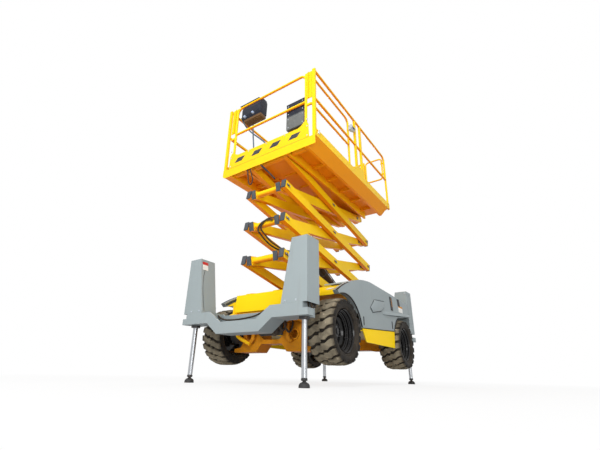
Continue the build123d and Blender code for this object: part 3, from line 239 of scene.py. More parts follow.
def tyre_rubber():
    """Black side walls and grooves, dry tan soil on the lugs' tops."""
    f = Finish("dusty_tyre")
    along = f.axis(f.place, "X")
    sideways = (along - FRONT_AXLE).absolute().least((along + REAR_AXLE).absolute())
    upright = f.height() - AXLE_HEIGHT
    radius = (sideways * sideways + upright * upright) ** 0.5
    lug_top = radius.over(0.309, 0.326)
    across = (f.axis(f.place, "Y").absolute() - HALF_TRACK).absolute()
    tread = 1.0 - across.over(0.143, 0.1515)
    patches = f.noise(7.0, 5.0, 0.65, 0.8)
    grain = f.noise(120.0, 4.0, 0.7)
    soil = patches.over(0.3, 0.66) * 0.5 + grain.over(0.4, 0.7) * 0.3
    color = f.blend(soil * (0.14 + tread * 0.36), (0.011, 0.0105, 0.01), (0.12, 0.09, 0.06))
    dried = lug_top * tread * (patches.over(0.3, 0.65) * 0.42 + 0.38)
    color = f.blend(dried, color, (0.315, 0.27, 0.19))
    clump = f.cells(16.0)
    color = f.blend((1.0 - clump.over(0.1, 0.26)) * lug_top * tread * patches.over(0.5, 0.6) * 0.8, color,
                    (0.5, 0.42, 0.31))
    normal = f.relief(grain * 0.6 + patches * 0.8, 0.0012, 0.003)
    return f.surface(color, 0.55 + grain * 0.2 + lug_top * 0.2, normal, specular=0.14)


def chromed_steel():
    """Hard chrome of the jack and lift rods, filmed with oil and dust."""
    f = Finish("chromed_rod")
    film = f.noise(5.0, 4.0)
    color = f.blend(film.over(0.5, 0.8) * 0.4, (0.42, 0.435, 0.455), (0.28, 0.265, 0.25))
    return f.surface(color, 0.34, metallic=0.95)


def cast_iron():
    """Rough black castings: hubs, knuckles, jack feet."""
    f = Finish("black_casting")
    grain = f.noise(160.0, 4.0, 0.7)
    patches = f.noise(9.0, 4.0, 0.6, 0.5)
    color = f.blend(patches.over(0.45, 0.75) * 0.6, (0.03, 0.03, 0.031), (0.12, 0.085, 0.055))
    color = f.blend(f.edges(0.004).over(0.02, 0.15) * 0.45, color, (0.2, 0.17, 0.14))
    return f.surface(color, 0.52 + grain * 0.25, f.relief(grain, 0.001, 0.003), metallic=0.3)


def tread_plate():
    """The deck's yellow floor, with raised lozenges in two directions, dust between them, and painted shade
    in dark orange on its undersides.
    """
    f = Finish("tread_plate")
    bars = []
    for turn in (0.785, -0.785):
        along = f.node("ShaderNodeMapping", {"Vector": f.place, "Rotation": (0.0, 0.0, turn)}).outputs[0]
        across = f.node("ShaderNodeMapping", {"Vector": along, "Scale": (22.0, 60.0, 0.0)}).outputs[0]
        bars.append(1.0 - f.cells(1.0, along=across).over(0.16, 0.3))
    raised = bars[0].most(bars[1]) * f.upwards()
    dust = f.noise(5.0, 5.0, 0.65).over(0.35, 0.75) * f.upwards()
    # painted shade: undersides turn dark orange
    color = f.blend(f.underside_shade_mask() * 0.85, (0.92, 0.58, 0.006), (0.8, 0.185, 0.003))
    color = f.blend(dust * (1.0 - raised * 0.7) * 0.6, color, DUST)
    return f.surface(color, 0.42 + dust * 0.3, f.relief(raised, 0.0016), specular=0.2)


def moulded_plastic(name, base, pale):
    """Textured moulding with faintly rubbed edges."""
    f = Finish(name)
    leather = f.cells(420.0)
    patches = f.noise(12.0, 3.0)
    color = f.blend(patches.over(0.4, 0.75) * 0.5, base, pale)
    color = f.blend(f.edges(0.003).over(0.02, 0.15) * 0.35, color, pale)
    return f.surface(color, 0.42 + patches * 0.18, f.relief(leather, 0.0005, 0.003), specular=0.25)


def plain_steel(name, color, dull):
    """Small steel parts: screws, clips and plates, a little stained."""
    f = Finish(name)
    stain = f.noise(30.0, 4.0, 0.6)
    mixed = f.blend(stain.over(0.4, 0.75) * 0.6, color, dull)
    return f.surface(mixed, 0.35 + stain * 0.25, f.relief(stain, 0.0003), metallic=0.6)


def placard(name, color, aged):
    """A blank printed plate, faded unevenly."""
    f = Finish(name)
    fade = f.noise(6.0, 3.0)
    mark = f.noise(45.0, 5.0, 0.7)
    mixed = f.blend(fade.over(0.4, 0.7) * 0.5, color, aged)
    mixed = f.blend(mark.over(0.6, 0.75) * 0.35, mixed, DUST)
    return f.surface(mixed, 0.4 + mark * 0.15, f.relief(mark, 0.0001), specular=0.3)


# In each enamel, the third colour is painted shade for undersides and hollows.
finishes = {
    "yellow_paint": enamel(
        "yellow_enamel", (0.95, 0.62, 0.005), (0.93, 0.57, 0.005), (0.8, 0.185, 0.003), grime=0.2,
        soil=PALE_SOIL),
    # a lighter copy of the yellow enamel, with little dust and little painted shade in hollows: painted light
    "fender_paint": enamel(
        "fender_enamel", (0.95, 0.66, 0.005), (0.94, 0.6, 0.005), (0.42, 0.1, 0.004), grime=0.12,
        hollow_shade=0.08, soil=PALE_SOIL),
    # a lighter copy of the yellow enamel for the front panel, less grimy: painted light
    "panel_paint": enamel(
        "clean_yellow_enamel", (0.95, 0.66, 0.005), (0.94, 0.62, 0.005), (0.85, 0.45, 0.004), grime=0.12,
        soil=PALE_SOIL),
    # a darker copy of the yellow enamel: painted shade, with real grime and earth on it
    "orange_paint": enamel(
        "grimy_yellow_enamel", (0.66, 0.265, 0.005), (0.52, 0.19, 0.006), (0.36, 0.095, 0.004),
        grime=0.6, gloss=0.48, soil=EARTH),
    # a brighter copy of the yellow enamel where less lamp light falls: painted light; its near-black third
    # colour is painted shade
    "tray_paint": enamel(
        "tray_enamel", (1.0, 0.69, 0.002), (1.0, 0.65, 0.002), (0.085, 0.062, 0.042), grime=0.06, hollow_shade=0.3,
        specular=0.08, soil=PALE_SOIL),
    "grey_paint": enamel(
        "blue_grey_enamel", (0.3, 0.345, 0.355), (0.275, 0.318, 0.328), (0.16, 0.185, 0.195), grime=0.22,
        gloss=0.42),
    "dark_grey_paint": enamel(
        "dark_grey_enamel", (0.055, 0.06, 0.066), (0.038, 0.041, 0.045), (0.03, 0.03, 0.032), grime=0.3,
        gloss=0.42),
    "black_paint": enamel(
        "black_gloss_enamel", (0.006, 0.006, 0.007), (0.012, 0.011, 0.01), (0.005, 0.005, 0.005),
        grime=0.05, gloss=0.05, coat=0.3),
    "barrel_paint": enamel(
        "brown_black_enamel", (0.05, 0.03, 0.016), (0.075, 0.042, 0.02), (0.03, 0.018, 0.01), grime=0.35,
        gloss=0.3, coat=0.15),
    "tyre_rubber": tyre_rubber(),
    "tread_plate": tread_plate(),
    "hose_rubber": rubber("hose_rubber", (0.022, 0.017, 0.014), (0.1, 0.065, 0.035), 0.45),
    "chrome_rod": chromed_steel(),
    "cast_metal": cast_iron(),
    "black_plastic": moulded_plastic("black_moulding", (0.016, 0.016, 0.018), (0.05, 0.05, 0.052)),
    "grey_plastic": moulded_plastic("grey_moulding", (0.06, 0.066, 0.074), (0.12, 0.13, 0.14)),
    "pale_plastic": moulded_plastic("pale_moulding", (0.42, 0.47, 0.52), (0.55, 0.58, 0.6)),
    "navy_plastic": moulded_plastic("navy_moulding", (0.01, 0.012, 0.022), (0.026, 0.03, 0.044)),
    "knob_blue": moulded_plastic("knob_moulding", (0.32, 0.4, 0.56), (0.44, 0.5, 0.62)),
    "brown_plastic": moulded_plastic("brown_moulding", (0.11, 0.055, 0.018), (0.16, 0.085, 0.03)),
    "stone_plastic": moulded_plastic("stone_moulding", (0.125, 0.13, 0.125), (0.17, 0.175, 0.165)),
    "cable_blue": moulded_plastic("blue_grey_sheath", (0.085, 0.13, 0.18), (0.14, 0.19, 0.24)),
    "plated_steel": plain_steel("plated_screw", (0.62, 0.6, 0.55), (0.3, 0.26, 0.2)),
    "dark_steel": plain_steel("blackened_steel", (0.055, 0.055, 0.058), (0.12, 0.09, 0.06)),
    "label_white": placard("white_placard", (0.78, 0.78, 0.75), (0.66, 0.65, 0.6)),
    "label_red": placard("red_placard", (0.55, 0.035, 0.03), (0.42, 0.05, 0.04)),
}


def paint_frame():
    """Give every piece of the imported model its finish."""
    repainted = {
        "lift_cylinder_barrel": "barrel_paint", "arch_plates": "fender_paint", "front_panel": "panel_paint",
        "platform_deck": "tread_plate", "extension_deck": "tread_plate", "left_side_tray": "tray_paint",
        "right_side_tray": "tray_paint",
    }
    slots = {part["node"]: part["material_slot"] for part in frame["record"]["subparts"]}
    for name, node in frame["nodes"].items():
        finish = finishes[repainted.get(name, slots[name])]
        if not node.data.materials:
            node.data.materials.append(finish)
        for index in range(len(node.data.materials)):
            node.material_slots[index].material = finish


paint_frame()


# ---- mesh tools
SIDE = {"left": 1.0, "right": -1.0}
END = {"front": 1.0, "rear": -1.0}


def oriented(axis, a, b, along):
    """The point (a, b) of a plane across an axis, at a place along the axis."""
    return {"X": (along, a, b), "Y": (a, along, b), "Z": (a, b, along)}[axis]


def outward(mesh):
    """Let all faces of a closed bmesh look outwards."""
    bmesh.ops.recalc_face_normals(mesh, faces=mesh.faces[:])
    return mesh


def prism(outline, axis, low, high, bevel=0.0):
    """A closed outline drawn across an axis and drawn out along it: (y,z), (x,z) or (x,y)."""
    count = len(outline)
    mesh = bmesh.new()
    corners = [mesh.verts.new(oriented(axis, a, b, level)) for level in (low, high) for a, b in outline]
    mesh.faces.new(corners[:count])
    mesh.faces.new(corners[:count - 1:-1])
    for index in range(count):
        after = (index + 1) % count
        mesh.faces.new([corners[place] for place in (index, index + count, after + count, after)])
    if bevel:
        bmesh.ops.bevel(mesh, geom=mesh.edges[:], offset=bevel, segments=2, affect="EDGES", profile=0.6)
    return outward(mesh)


def block(low, high, bevel=0.003):
    """A box between two corners, its edges rounded."""
    outline = [(low[0], low[1]), (high[0], low[1]), (high[0], high[1]), (low[0], high[1])]
    return prism(outline, "Z", low[2], high[2], bevel)


def skin(rings, endless=False):
    """Rings of corners joined in turn: the last one to the first, or else both of them closed."""
    mesh = bmesh.new()
    rings = [[mesh.verts.new(corner) for corner in ring] for ring in rings]
    for low, high in zip(rings, rings[1:] + rings[:1] if endless else rings[1:]):
        for index in range(len(low)):
            after = (index + 1) % len(low)
            mesh.faces.new((low[index], low[after], high[after], high[index]))
    if not endless:
        mesh.faces.new(rings[0])
        mesh.faces.new(rings[-1])
    return outward(mesh)


def lathe(profile, centre, axis, steps=96, endless=True):
    """Turn (radius, along) points about an axis, X, Y or Z, through a centre."""
    rings = []
    for radius, along in profile:
        ring = []
        for step in range(steps):
            angle = 2 * pi * step / steps
            place = oriented(axis, radius * cos(angle), radius * sin(angle), along)
            ring.append([c + p for c, p in zip(centre, place)])
        rings.append(ring)
    return skin(rings, endless)


def put(name, data):
    """A new object of the scene that shows the data."""
    made = bpy.data.objects.new(name, data)
    scene.collection.objects.link(made)
    return made


def smooth_tube(points, radius, sides=10):
    """A round tube on one smooth line that the points pull into shape, its ends closed."""
    curve = bpy.data.curves.new("route", "CURVE")
    curve.dimensions = "3D"
    curve.bevel_depth = radius
    curve.bevel_resolution = max(1, sides // 4)
    curve.use_fill_caps = True
    curve.resolution_u = 8
    spline = curve.splines.new("NURBS")
    spline.points.add(len(points) - 1)
    for knot, point in zip(spline.points, points):
        knot.co = (*point, 1.0)
    spline.order_u = 3
    spline.use_endpoint_u = True
    carrier = put("route", curve)
    swept = bpy.data.meshes.new_from_object(carrier.evaluated_get(bpy.context.evaluated_depsgraph_get()))
    mesh = bmesh.new()
    mesh.from_mesh(swept)
    bmesh.ops.remove_doubles(mesh, verts=mesh.verts[:], dist=1e-6)
    bpy.data.objects.remove(carrier)
    bpy.data.meshes.remove(swept)
    bpy.data.curves.remove(curve)
    return outward(mesh)


def turned(mesh, axis, angle, centre=(0, 0, 0)):
    bmesh.ops.rotate(mesh, verts=mesh.verts[:], cent=centre, matrix=Matrix.Rotation(angle, 3, axis))
    return mesh


def moved(mesh, way):
    bmesh.ops.translate(mesh, vec=way, verts=mesh.verts[:])
    return mesh


def swapped_side(mesh):
    """Mirror a bmesh to the machine's other side."""
    bmesh.ops.scale(mesh, vec=(1, -1, 1), verts=mesh.verts[:])
    bmesh.ops.reverse_faces(mesh, faces=mesh.faces[:])
    return mesh


def pour(shape, whole):
    """Add a bmesh to another one and free it."""
    held = bpy.data.meshes.new("held")
    shape.to_mesh(held)
    whole.from_mesh(held)
    bpy.data.meshes.remove(held)
    shape.free()


class Piece:
    """One object on one body, gathered from several shapes in several finishes."""

    def __init__(self, name, body):
        self.name = name
        self.body = body
        self.mesh = bmesh.new()
        self.finishes = []

    def add(self, shape, finish, mirrored=False):
        """Add a shape; mirrored adds its twin on the machine's other side too."""
        if finish not in self.finishes:
            self.finishes.append(finish)
        slot = self.finishes.index(finish)
        for face in shape.faces:
            face.material_index = slot
            face.smooth = True
        for each in [shape, swapped_side(shape.copy())] if mirrored else [shape]:
            pour(each, self.mesh)

    def blocks(self, *rows):
        """Add boxes, each given by two corners, its bevel and its finish."""
        for low, high, bevel, finish in rows:
            self.add(block(low, high, bevel), finish)

    def hose(self, route, radius, finish="hose_rubber", mirrored=False, sides=10):
        self.add(smooth_tube(route, radius, sides), finish, mirrored)

    def done(self, replaced=(), sharp=32.0):
        """Make the object, let it ride on its body, and let it stand for CAD nodes."""
        mesh = bpy.data.meshes.new(self.name)
        self.mesh.to_mesh(mesh)
        self.mesh.free()
        for finish in self.finishes:
            mesh.materials.append(finishes[finish])
        mesh.set_sharp_from_angle(angle=radians(sharp))
        made = put(self.name, mesh)
        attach(made, self.body)
        if replaced:
            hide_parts(*replaced)


# ---- geometry nodes for what repeats
class Tree(Nodes):
    """A Geometry Nodes tree with named inputs."""

    def __init__(self, name, sizes):
        super().__init__(bpy.data.node_groups.new(name, "GeometryNodeTree"))
        face = self.tree.interface
        face.new_socket("Geometry", in_out="INPUT", socket_type="NodeSocketGeometry")
        self.sockets = {}
        for size in sizes:
            kind = "NodeSocketInt" if size == "Count" else "NodeSocketFloat"
            self.sockets[size] = face.new_socket(size, in_out="INPUT", socket_type=kind)
        face.new_socket("Geometry", in_out="OUTPUT", socket_type="NodeSocketGeometry")
        self.source = self.node("NodeGroupInput")

    def size(self, name):
        return Signal(self, self.source.outputs[name])

    def end(self, points, instance, rotation, finish):
        """Set the instance on the points, realize all of it and set its finish."""
        inputs = {"Points": points, "Instance": instance, "Rotation": rotation}
        spread = self.node("GeometryNodeInstanceOnPoints", inputs)
        real = self.node("GeometryNodeRealizeInstances", {0: spread})
        painted = self.node("GeometryNodeSetMaterial", {"Geometry": real, "Material": finishes[finish]})
        self.node("NodeGroupOutput", {0: painted})

    def grow(self, name, body, seed_mesh, values, sharp=32.0, placed=None):
        """Run the tree on a mesh and keep the plain result as a piece of a body."""
        carrier = put(name + "_seed", seed_mesh)
        modifier = carrier.modifiers.new("grow", "NODES")
        modifier.node_group = self.tree
        for size, value in values.items():
            modifier[self.sockets[size].identifier] = value
        evaluated = carrier.evaluated_get(bpy.context.evaluated_depsgraph_get())
        mesh = bpy.data.meshes.new_from_object(evaluated)
        mesh.name = name
        bpy.data.objects.remove(carrier)
        if placed is not None:
            mesh.transform(placed)
            if placed.to_3x3().determinant() < 0:
                mesh.flip_normals()
        for face in mesh.polygons:
            face.use_smooth = True
        mesh.set_sharp_from_angle(angle=radians(sharp))
        made = put(name, mesh)
        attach(made, body)


def ring_tree(finish):
    """The seed, repeated Count times about the Y axis."""
    tree = Tree("repeat_about_axle", ["Count"])
    count = tree.size("Count")
    points = tree.node("GeometryNodePoints", {"Count": count})
    angle = tree.signal("GeometryNodeInputIndex") * (2 * pi / count)
    tree.end(points, tree.source, tree.node("ShaderNodeCombineXYZ", {"Y": angle}), finish)
    return tree


def fastener_tree(finish):
    """A washer and a hexagon head on every corner of the seed, along its normal."""
    tree = Tree("fasteners_" + finish, ["Radius", "Height"])
    radius, height = tree.size("Radius"), tree.size("Height")
    head, washer = [
        tree.node("GeometryNodeMeshCylinder", {"Vertices": corners, "Radius": wide, "Depth": deep},
                  fill_type="NGON")
        for corners, wide, deep in ((6, radius, height), (16, radius * 1.45, height * 0.4))
    ]
    raised = tree.node("ShaderNodeCombineXYZ", {"Z": height * 0.6})
    lifted = tree.node("GeometryNodeTransform", {"Geometry": head, "Translation": raised})
    both = tree.node("GeometryNodeJoinGeometry", {0: lifted})
    tree.feed(both.inputs[0], washer)
    facing = tree.node("GeometryNodeInputNamedAttribute", {"Name": "facing"}, data_type="FLOAT_VECTOR")
    turn = tree.node("FunctionNodeAlignRotationToVector", {"Vector": facing}, axis="Z")
    tree.end(tree.source, both, turn, finish)
    return tree


fastener_trees = {}


def fasteners(name, body, spots, radius, height, finish="plated_steel"):
    """Bolt heads at spots, each a place and the way it faces."""
    seed = bpy.data.meshes.new(name)
    seed.from_pydata([place for place, facing in spots], [], [])
    facings = seed.attributes.new("facing", "FLOAT_VECTOR", "POINT")
    for item, (place, facing) in zip(facings.data, spots):
        item.vector = facing
    if finish not in fastener_trees:
        fastener_trees[finish] = fastener_tree(finish)
    fastener_trees[finish].grow(name, body, seed, {"Radius": radius, "Height": height})


def both_sides(spots):
    """Spots and their twins on the machine's other side."""
    twins = [((x, -y, z), (fx, -fy, fz)) for (x, y, z), (fx, fy, fz) in spots]
    return list(spots) + twins


# ---- wheels
TYRE_RADIUS = 0.333
CARCASS_RADIUS = 0.309
TREAD_PITCHES = 20
# half of the tyre's section, from the bead over the side wall to the tread's middle: (radius, across)
TYRE_SECTION = [
    (0.224, 0.118), (0.226, 0.13), (0.234, 0.137), (0.243, 0.136), (0.247, 0.142), (0.262, 0.147),
    (0.28, 0.147), (0.294, 0.142), (0.303, 0.13), (0.308, 0.105), (CARCASS_RADIUS, 0.0),
]
# a lug's outline on the unrolled tread: (along the turn, across), shoulder first
LUG_OUTLINE = [
    (0.0, 0.1495), (0.074, 0.1495), (0.078, 0.11), (0.088, 0.088), (0.118, 0.054), (0.118, -0.006),
    (0.046, -0.006), (0.044, 0.044), (0.016, 0.08), (0.001, 0.112),
]
SHOULDER_FALL = [(0.0, 0.0), (0.085, 0.001), (0.112, 0.005), (0.135, 0.013), (0.15, 0.021)]


def crown(across):
    """How far the tread's top falls below its middle at a distance from it."""
    across = abs(across)
    for (y0, fall0), (y1, fall1) in zip(SHOULDER_FALL, SHOULDER_FALL[1:]):
        if across <= y1:
            return fall0 + (fall1 - fall0) * (across - y0) / (y1 - y0)
    return SHOULDER_FALL[-1][1]


def bent(along, across, radius, turn, flip):
    """A place on the unrolled tread, along and across it, bent round the axle."""
    angle = flip * along / TYRE_RADIUS + turn
    return (radius * sin(angle), flip * across, radius * cos(angle))


def lug(turn, flip):
    """One tread lug: foot, chamfer and top of its outline, bent round the carcass."""
    middle_along, middle_across = (sum(values) / len(values) for values in zip(*LUG_OUTLINE))
    rings = []
    # height over the carcass as a part of the full height, and how far the outline has drawn in
    for level, draw in ((-0.25, 0.0), (0.82, 0.07), (1.0, 0.14)):
        ring = []
        for along, across in LUG_OUTLINE:
            u = along + (middle_along - along) * draw
            v = across + (middle_across - across) * draw * 0.45
            top = TYRE_RADIUS - crown(v)
            foot = CARCASS_RADIUS - crown(v) * 0.9
            ring.append(bent(u, v, foot + (top - foot) * level, turn, flip))
        rings.append(ring)
    return skin(rings)


def side_bar(turn, flip):
    """The lug's foot that runs down the side wall."""
    outline = [(0.003, 0.318), (0.071, 0.318), (0.064, 0.29), (0.01, 0.29)]
    middle_along, middle_radius = 0.037, 0.295
    rings = []
    for across, draw in ((0.136, 0.0), (0.1505, 0.12)):
        rings.append([
            bent(along + (middle_along - along) * draw, across,
                 radius + (middle_radius - radius) * draw, turn, flip)
            for along, radius in outline
        ])
    return skin(rings)


def wheels():
    """Each wheel's name, the sign of its side, and its middle."""
    for end in END:
        for side, sign in SIDE.items():
            low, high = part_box(f"{end}_{side}_tyre")
            yield f"{end}_{side}", sign, (Vector(low) + Vector(high)) / 2


def make_tyres():
    """Interlocking rows of lugs round a carcass, one mesh for each wheel."""
    tree = ring_tree("tyre_rubber")
    stagger = 0.08 / TYRE_RADIUS
    section = [(radius, -across) for radius, across in TYRE_SECTION] + TYRE_SECTION[-2::-1]
    for wheel, sign, centre in wheels():
        pair = bmesh.new()
        for turn, flip in ((0.0, 1), (stagger, -1)):
            pour(lug(turn, flip), pair)
            pour(side_bar(turn, flip), pair)
        seed = bpy.data.meshes.new("lug_pair")
        pair.to_mesh(seed)
        pair.free()
        # the tread is handed: it points the same way on both sides when seen from above
        place = Matrix.Translation(centre) @ Matrix.Diagonal((1, sign, 1, 1))
        body = f"{wheel}_wheel"
        tree.grow(f"{wheel}_tread", body, seed, {"Count": TREAD_PITCHES}, sharp=24.0, placed=place)
        carcass = Piece(f"{wheel}_carcass", body)
        carcass.add(lathe(section, centre, "Y"), "tyre_rubber")
        carcass.done(replaced=[f"{wheel}_tyre"])


# a rim's section from the outer lip inwards and back behind: (radius, distance from the wheel's middle)
RIM_SECTION = [
    (0.236, 0.13), (0.238, 0.126), (0.236, 0.122), (0.226, 0.12), (0.222, 0.112), (0.214, 0.104),
    (0.213, 0.086), (0.206, 0.08), (0.2045, 0.074), (0.199, 0.07), (0.198, 0.052), (0.19, 0.045),
    (0.189, 0.036), (0.182, 0.03), (0.181, 0.004), (0.172, -0.01), (0.16, -0.02), (0.15, -0.022),
    (0.146, -0.03), (0.134, -0.033), (0.128, -0.041), (0.1, -0.043), (0.1, -0.055), (0.17, -0.034),
    (0.205, -0.05), (0.214, -0.11), (0.234, -0.124), (0.236, -0.13), (0.226, -0.13), (0.22, -0.1),
    (0.222, 0.1),
]
HUB_SECTION = [
    (0.1, -0.05), (0.1, -0.043), (0.099, -0.02), (0.094, -0.012), (0.08, -0.01), (0.078, 0.018),
    (0.072, 0.024), (0.06, 0.026), (0.058, 0.031), (0.034, 0.033), (0.032, 0.04), (0.02, 0.042),
]


def bolt_circle(centre, sign, count, start, radius, out):
    """Spots in a ring on a wheel's outer side, the first one start steps round."""
    spots = []
    for step in range(count):
        angle = 2 * pi * (step + start) / count
        place = centre + Vector((radius * cos(angle), sign * out, radius * sin(angle)))
        spots.append((place, (0, sign, 0)))
    return spots


def make_rims():
    """Deep black dishes with stepped walls, wheel nuts and a hub with its own ring of bolts."""
    for wheel, sign, centre in wheels():
        body = f"{wheel}_wheel"
        rim = Piece(f"{wheel}_wheel_dish", body)
        for section, steps, endless in ((RIM_SECTION, 96, True), (HUB_SECTION, 64, False)):
            sided = [(radius, sign * across) for radius, across in section]
            rim.add(lathe(sided, centre, "Y", steps, endless), "black_paint")
        rim.done(replaced=[f"{wheel}_rim"], sharp=28.0)
        nuts = bolt_circle(centre, sign, 10, 0.3, 0.117, -0.04)
        fasteners(f"{wheel}_wheel_nuts", body, nuts, 0.0125, 0.016)
        caps = bolt_circle(centre, sign, 8, 0.0, 0.066, 0.0255)
        fasteners(f"{wheel}_hub_bolts", body, caps, 0.006, 0.006, "dark_steel")


# ---- scissor
ARM_WALLS = {"inner": (0.171, 0.231), "outer": (0.255, 0.315)}
ARM_SPAN = 2.373
STAGE_RISE = 0.452
LEVEL_0 = 0.912
FRONT_PIVOT = 1.1955
CROSS_X = FRONT_PIVOT - ARM_SPAN / 2
HALF_ARM = (ARM_SPAN ** 2 + STAGE_RISE ** 2) ** 0.5 / 2
ARM_ANGLE = asin(STAGE_RISE / 2 / HALF_ARM)
ARM_REACH = HALF_ARM + 0.062
HALF_DEPTH = 0.055


def arm_slope(kind):
    return -ARM_ANGLE if kind == "inner" else ARM_ANGLE


def middle_height(stage):
    return LEVEL_0 + (stage + 0.5) * STAGE_RISE


def on_arm(stage, kind, along, above, y=0.0):
    """Place a spot given along an arm from its middle and above it."""
    run, rise = cos(arm_slope(kind)), sin(arm_slope(kind))
    height = middle_height(stage) + along * rise + above * run
    return Vector((CROSS_X + along * run - above * rise, y, height))


def on_arm_shape(stage, kind, shape):
    """Move a shape drawn along a level arm through the origin to where the arm stands."""
    return moved(turned(shape, "Y", -arm_slope(kind)), (CROSS_X, 0, middle_height(stage)))


def make_arm_ends():
    """Grey caps on the square arm ends, pin plates with their screws, and gussets at the tubes."""
    for stage in range(4):
        for kind, (y0, y1) in ARM_WALLS.items():
            body = f"stage_{stage + 1}_{kind}"
            piece = Piece(f"{body}_fittings", body)
            spots = []

            def fit(shape, finish):
                piece.add(on_arm_shape(stage, kind, shape), finish, mirrored=True)

            capped = {"inner": (stage > 0, stage < 3), "outer": (stage < 3, True)}[kind]
            for end, wanted in zip((1, -1), capped):
                if wanted:
                    x0, x1 = sorted((end * (ARM_REACH - 0.01), end * (ARM_REACH + 0.005)))
                    edge = HALF_DEPTH + 0.002
                    fit(block((x0, y0 - 0.002, -edge), (x1, y1 + 0.002, edge), 0.002), "grey_plastic")
            if kind == "outer":
                # the last stage's top pins are covered by the deck's tube
                for along in (0.0, -HALF_ARM) if stage == 3 else (0.0, HALF_ARM, -HALF_ARM):
                    half = [(along + 0.03, -0.014), (along + 0.034, 0.0), (along + 0.03, 0.014)]
                    retainer = [(along - 0.03, -0.014), *half, (along - 0.03, 0.014), (along - 0.034, 0.0)]
                    fit(prism(retainer, "Y", y1 + 0.0055, y1 + 0.0115, 0.001), "dark_steel")
                    for offset in (-0.022, 0.022):
                        spots.append((on_arm(stage, kind, along + offset, 0.0, y1 + 0.0115), (0, 1, 0)))
            else:
                for along in (HALF_ARM - 0.13, -HALF_ARM + 0.13):
                    low, high = along - 0.028, along + 0.028
                    fit(block((low, y1 - 0.001, -0.028), (high, y1 + 0.0035, 0.028), 0.001), "dark_steel")
                    for above in (-0.016, 0.016):
                        spots.append((on_arm(stage, kind, along, above, y1 + 0.0035), (0, 1, 0)))
                for along in (HALF_ARM, -HALF_ARM) if stage < 3 else (HALF_ARM, 0.0):
                    inward = -1 if along > 0 else 1
                    near, far = along + inward * 0.034, along + inward * 0.112
                    gusset = [(near, -0.171), (near, -0.108), (far, -0.171)]
                    fit(prism(gusset, "Z", -0.005, 0.005, 0.001), "yellow_paint")
                    collar = [(0.04, -0.171), (0.049, -0.171), (0.049, -0.163), (0.04, -0.16)]
                    fit(lathe(collar, (along, 0, 0), "Y", 32), "yellow_paint")
            piece.done()
            fasteners(f"{body}_screws", body, both_sides(spots), 0.0062, 0.005)


def make_arm_hoses():
    """Paired hoses clipped along the inner arms, with a slack loop at each front tube."""
    spots = [(HALF_ARM - 0.1, 0.01), (HALF_ARM - 0.25, -0.025), (0.55, -0.04), (0.15, -0.055),
             (-0.35, -0.05), (-0.75, -0.03), (-HALF_ARM + 0.3, -0.015), (-HALF_ARM + 0.08, 0.02)]
    for stage in range(3):
        piece = Piece(f"stage_{stage + 1}_hoses", f"stage_{stage + 1}_inner")
        for y in (0.128, 0.146):
            piece.hose([on_arm(stage, "inner", along, above, y) for along, above in spots], 0.0085)
        for along in (0.7, 0.3, -0.2, -0.62):
            clip = block((along - 0.012, 0.112, -0.064), (along + 0.012, 0.172, -0.058), 0.001)
            piece.add(on_arm_shape(stage, "inner", clip), "dark_steel")
        piece.done()


def make_drop_loops():
    """Two hoses that leave the second crossing's front pivot, sag, and follow the arms down."""
    piece = Piece("stage_2_hose_loops", "stage_2_outer")
    sag = [(1.25, 0.175, 1.835), (1.252, 0.11, 1.858), (1.252, 0.03, 1.848), (1.248, -0.04, 1.805),
           (1.225, -0.07, 1.75), (1.15, -0.068, 1.712), (1.04, -0.05, 1.64), (0.9, -0.02, 1.598)]
    tail = [(0.76, 0.01, 1.585), (0.69, 0.04, 1.6), (0.66, 0.08, 1.64)]
    for aside, fall in ((0.0, 0.0), (-0.045, 0.014)):
        route = [(x, y + aside, z - fall) for x, y, z in sag] + [(x, y + aside, z) for x, y, z in tail]
        piece.hose(route, 0.0105)
    piece.done()


def make_lift_cylinder():
    """Pipe, port blocks and straps of the lift cylinder."""
    base = on_arm(0, "inner", -0.85, -0.12)
    line = (on_arm(1, "inner", 0.2, 0.16) - base).normalized()
    up = Vector((-line.z, 0, line.x))
    tilt = atan2(line.z, line.x)
    piece = Piece("lift_cylinder_fittings", "lift_barrel")
    pipe = [(0.1, 0.058), (0.1, 0.074), (0.13, 0.075), (0.9, 0.075), (0.93, 0.074), (0.93, 0.056)]
    aside = Vector((0, 0.03, 0))
    piece.hose([base + line * along + up * rise + aside for along, rise in pipe], 0.007, "barrel_paint")
    for along in (0.1, 0.93):
        port = block((along - 0.03, 0.018, 0.05), (along + 0.03, 0.062, 0.078), 0.004)
        piece.add(moved(turned(port, "Y", -tilt), base), "barrel_paint")
    for along in (0.3, 0.52, 0.74):
        low, high = along - 0.012, along + 0.012
        strap = lathe([(0.0595, low), (0.0625, low), (0.0625, high), (0.0595, high)], (0, 0, 0), "X", 48)
        piece.add(moved(turned(strap, "Y", -tilt), base), "dark_steel")
    piece.done()


# ---- hoods
HOOD_OUT = 0.86
FRONT_ARCH = (0.833, 0.519, 0.404)
REAR_ARCH = (-REAR_AXLE, AXLE_HEIGHT, 0.368)


def arc_points(centre, radius, start, stop, steps):
    """Points of an arc in the XZ plane, in degrees."""
    angles = [radians(start + (stop - start) * step / steps) for step in range(steps + 1)]
    return [(centre[0] + radius * cos(angle), centre[1] + radius * sin(angle)) for angle in angles]


def sheet_along(points, y0, y1, thickness):
    """A strip that follows points in the XZ plane, between two widths."""
    points = [Vector(point) for point in points]
    back = []
    for index, point in enumerate(points):
        run = (points[min(index + 1, len(points) - 1)] - points[max(index - 1, 0)]).normalized()
        back.append(point + Vector((-run.y, run.x)) * thickness)
    return prism(points + back[::-1], "Y", y0, y1)


